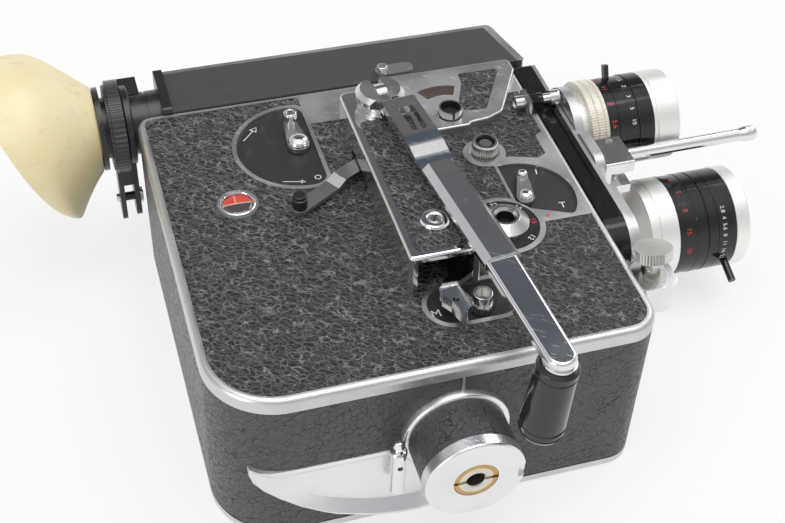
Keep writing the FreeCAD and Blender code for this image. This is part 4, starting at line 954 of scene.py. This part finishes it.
# Wall leather round the foot: a patch of the same hide that closes the covering
# up to the foot's edge. It follows the round corner of the casting.
PATCH_OUTLINE = [
    (-68.6, 47.6), (-64.9, 35.0), (-60.0, 27.0), (-50.3, 16.3), (-30.0, 9.3), (-20.0, 6.9),
    (-7.6, 6.4), (-7.6, 39.8), (-20.0, 40.6), (-53.0, 43.3), (-60.0, 46.0), (-66.0, 48.4),
]
HIDE_BACK, HIDE_FACE = 75.9, 76.63
CORNER_START = -51.0
CORNER_RADIUS = 25.0
patch = bmesh.new()
add_plate(patch, PATCH_OUTLINE, HIDE_BACK, HIDE_FACE)
upright = Matrix.Rotation(math.radians(90), 4, "X")
bmesh.ops.transform(patch, matrix=upright, verts=patch.verts)
for x in range(-68, -50):
    cut = patch.verts[:] + patch.edges[:] + patch.faces[:]
    bmesh.ops.bisect_plane(patch, geom=cut, plane_co=(x * MM, 0, 0), plane_no=(1, 0, 0))
for corner in patch.verts:
    past = max(0.0, CORNER_START - corner.co.x / MM)
    corner.co.y += (CORNER_RADIUS - math.sqrt(CORNER_RADIUS ** 2 - past ** 2)) * MM
piece("base_leather_patch", patch, wall_leather, "camera")


# Film side: the door with its lock, and what stands inside it. Plates are bare
# or satin alloy; sprockets, spindles and the shutter are machined steel.
tool_steel = metal("tool steel", (0.46, 0.46, 0.45), (0.34, 0.34, 0.34), 0.22, 0.36, 0.01)
barrel_brass = metal(
    "spring barrel brass", (0.60, 0.42, 0.19), (0.44, 0.30, 0.13), 0.24, 0.38, 0.012)
dress(satin_nickel, "film_door")
dress(nickel, "door_lock")
dress(tool_steel, "pressure_plate", "gate_plate", "upper_sprocket", "lower_sprocket")
dress(tool_steel, "supply_spindle", "takeup_spindle")
dress(anodised, "shutter_disc")
dress(barrel_brass, "spring_barrel")


# White table under the camera. It keeps the shadow, and shows white where the
# picture, a mirror or a glass looks at it.
TABLE_HALF = 6.0
TABLE_DROP = 0.0002
floor_shape = bmesh.new()
bmesh.ops.create_grid(floor_shape, x_segments=1, y_segments=1, size=TABLE_HALF)
bmesh.ops.translate(floor_shape, vec=(0, 0, -TABLE_DROP), verts=floor_shape.verts)
floor_mesh = bpy.data.meshes.new("table")
floor_shape.to_mesh(floor_mesh)
floor_shape.free()
floor = bpy.data.objects.new("table", floor_mesh)
bpy.context.scene.collection.objects.link(floor)

SHOWN_WHITE = 0.7
table = Finish("white table")
paper = table.noise(table.place, 400.0, 2.0)
paint = table.blend(paper, (0.86, 0.86, 0.87), (0.84, 0.84, 0.85))
matt = table.node("BsdfDiffuse", {}, {"Color": paint})
glow = table.node("Emission", {}, {"Color": (1.0, 1.0, 1.0), "Strength": 1.0})
seen, mirrored, through = [
    table.node("LightPath", {}, {}, "Is %s Ray" % kind)
    for kind in ("Camera", "Glossy", "Transmission")
]
seen = seen.either(mirrored).either(through)
table.output(table.node("MixShader", {}, {0: SHOWN_WHITE * seen, 1: matt, 2: glow}))
floor.data.materials.append(table.material)


# Studio round the table: white low down and overhead, with a grey band between
# them and a dark patch that the polished tops of the crank mirror to the camera.
world = bpy.data.worlds.new("studio")
world.use_nodes = True
bpy.context.scene.world = world
PATCH_DIRECTION = (0.20, 0.71, 0.67)
sky = Nodes(world.node_tree, "Generated")
height = sky.axis("Z")
bands = sky.node("ValToRGB", {"stops": [
    (0.0, (1.0, 1.0, 1.0)), (0.15, (0.85, 0.85, 0.86)), (0.38, (0.50, 0.51, 0.53)),
    (0.62, (0.46, 0.47, 0.49)), (0.84, (0.95, 0.95, 0.96)), (1.0, (1.0, 1.0, 1.0)),
]}, {"Fac": height})
nearness = sky.node(
    "VectorMath", {"operation": "DOT_PRODUCT"}, {0: sky.place, 1: PATCH_DIRECTION}, "Value")
shadow = sky.blend(
    sky.between(height, 0.58, 0.76), (0.165, 0.155, 0.155), (0.085, 0.105, 0.135))
bands = sky.blend(sky.between(nearness, 0.885, 0.955), bands, shadow)
camera_ray = sky.node("LightPath", {}, {}, "Is Camera Ray")
tint = sky.blend(camera_ray, bands, (1.0, 1.0, 1.0))
sky.output(sky.node("Background", {}, {"Color": tint, "Strength": 1.0}), "OutputWorld")


LAMP_TARGET = Vector((0.0, 0.0, 0.05))


def lamp(name, place, width, power):
    """Square soft lamp that points at the camera's body."""
    light = bpy.data.lights.new(name, "AREA")
    light.size = width
    light.energy = power
    holder = bpy.data.objects.new(name, light)
    holder.location = place
    aim = LAMP_TARGET - Vector(place)
    holder.rotation_euler = aim.to_track_quat("-Z", "Y").to_euler()
    bpy.context.scene.collection.objects.link(holder)


lamp("overhead", (0.05, -0.05, 1.0), width=0.7, power=4.0)
lamp("left", (-0.9, -0.5, 0.55), width=0.5, power=2.6)
lamp("right", (0.8, 0.5, 0.7), width=0.5, power=2.0)


# Viewpoint of the picture, fitted to points that the photograph shows.
EYE = (-0.108918, -0.348547, 0.398421)
RIGHT = Vector((0.95865909, -0.28303457, 0.02939692))
DOWN = Vector((-0.17593928, -0.67075396, -0.72050988))
FORWARD = Vector((0.22364730, 0.68555128, -0.69282128))
view = bpy.data.cameras.new("view")
view.sensor_width = 36.0
view.lens = 63.04
view.clip_start = 0.01
viewer = bpy.data.objects.new("view", view)
turn = Matrix((RIGHT, -DOWN, -FORWARD)).transposed().to_4x4()
viewer.matrix_world = Matrix.Translation(EYE) @ turn
bpy.context.scene.collection.objects.link(viewer)
bpy.context.scene.camera = viewer
bpy.context.scene.view_settings.view_transform = "Standard"
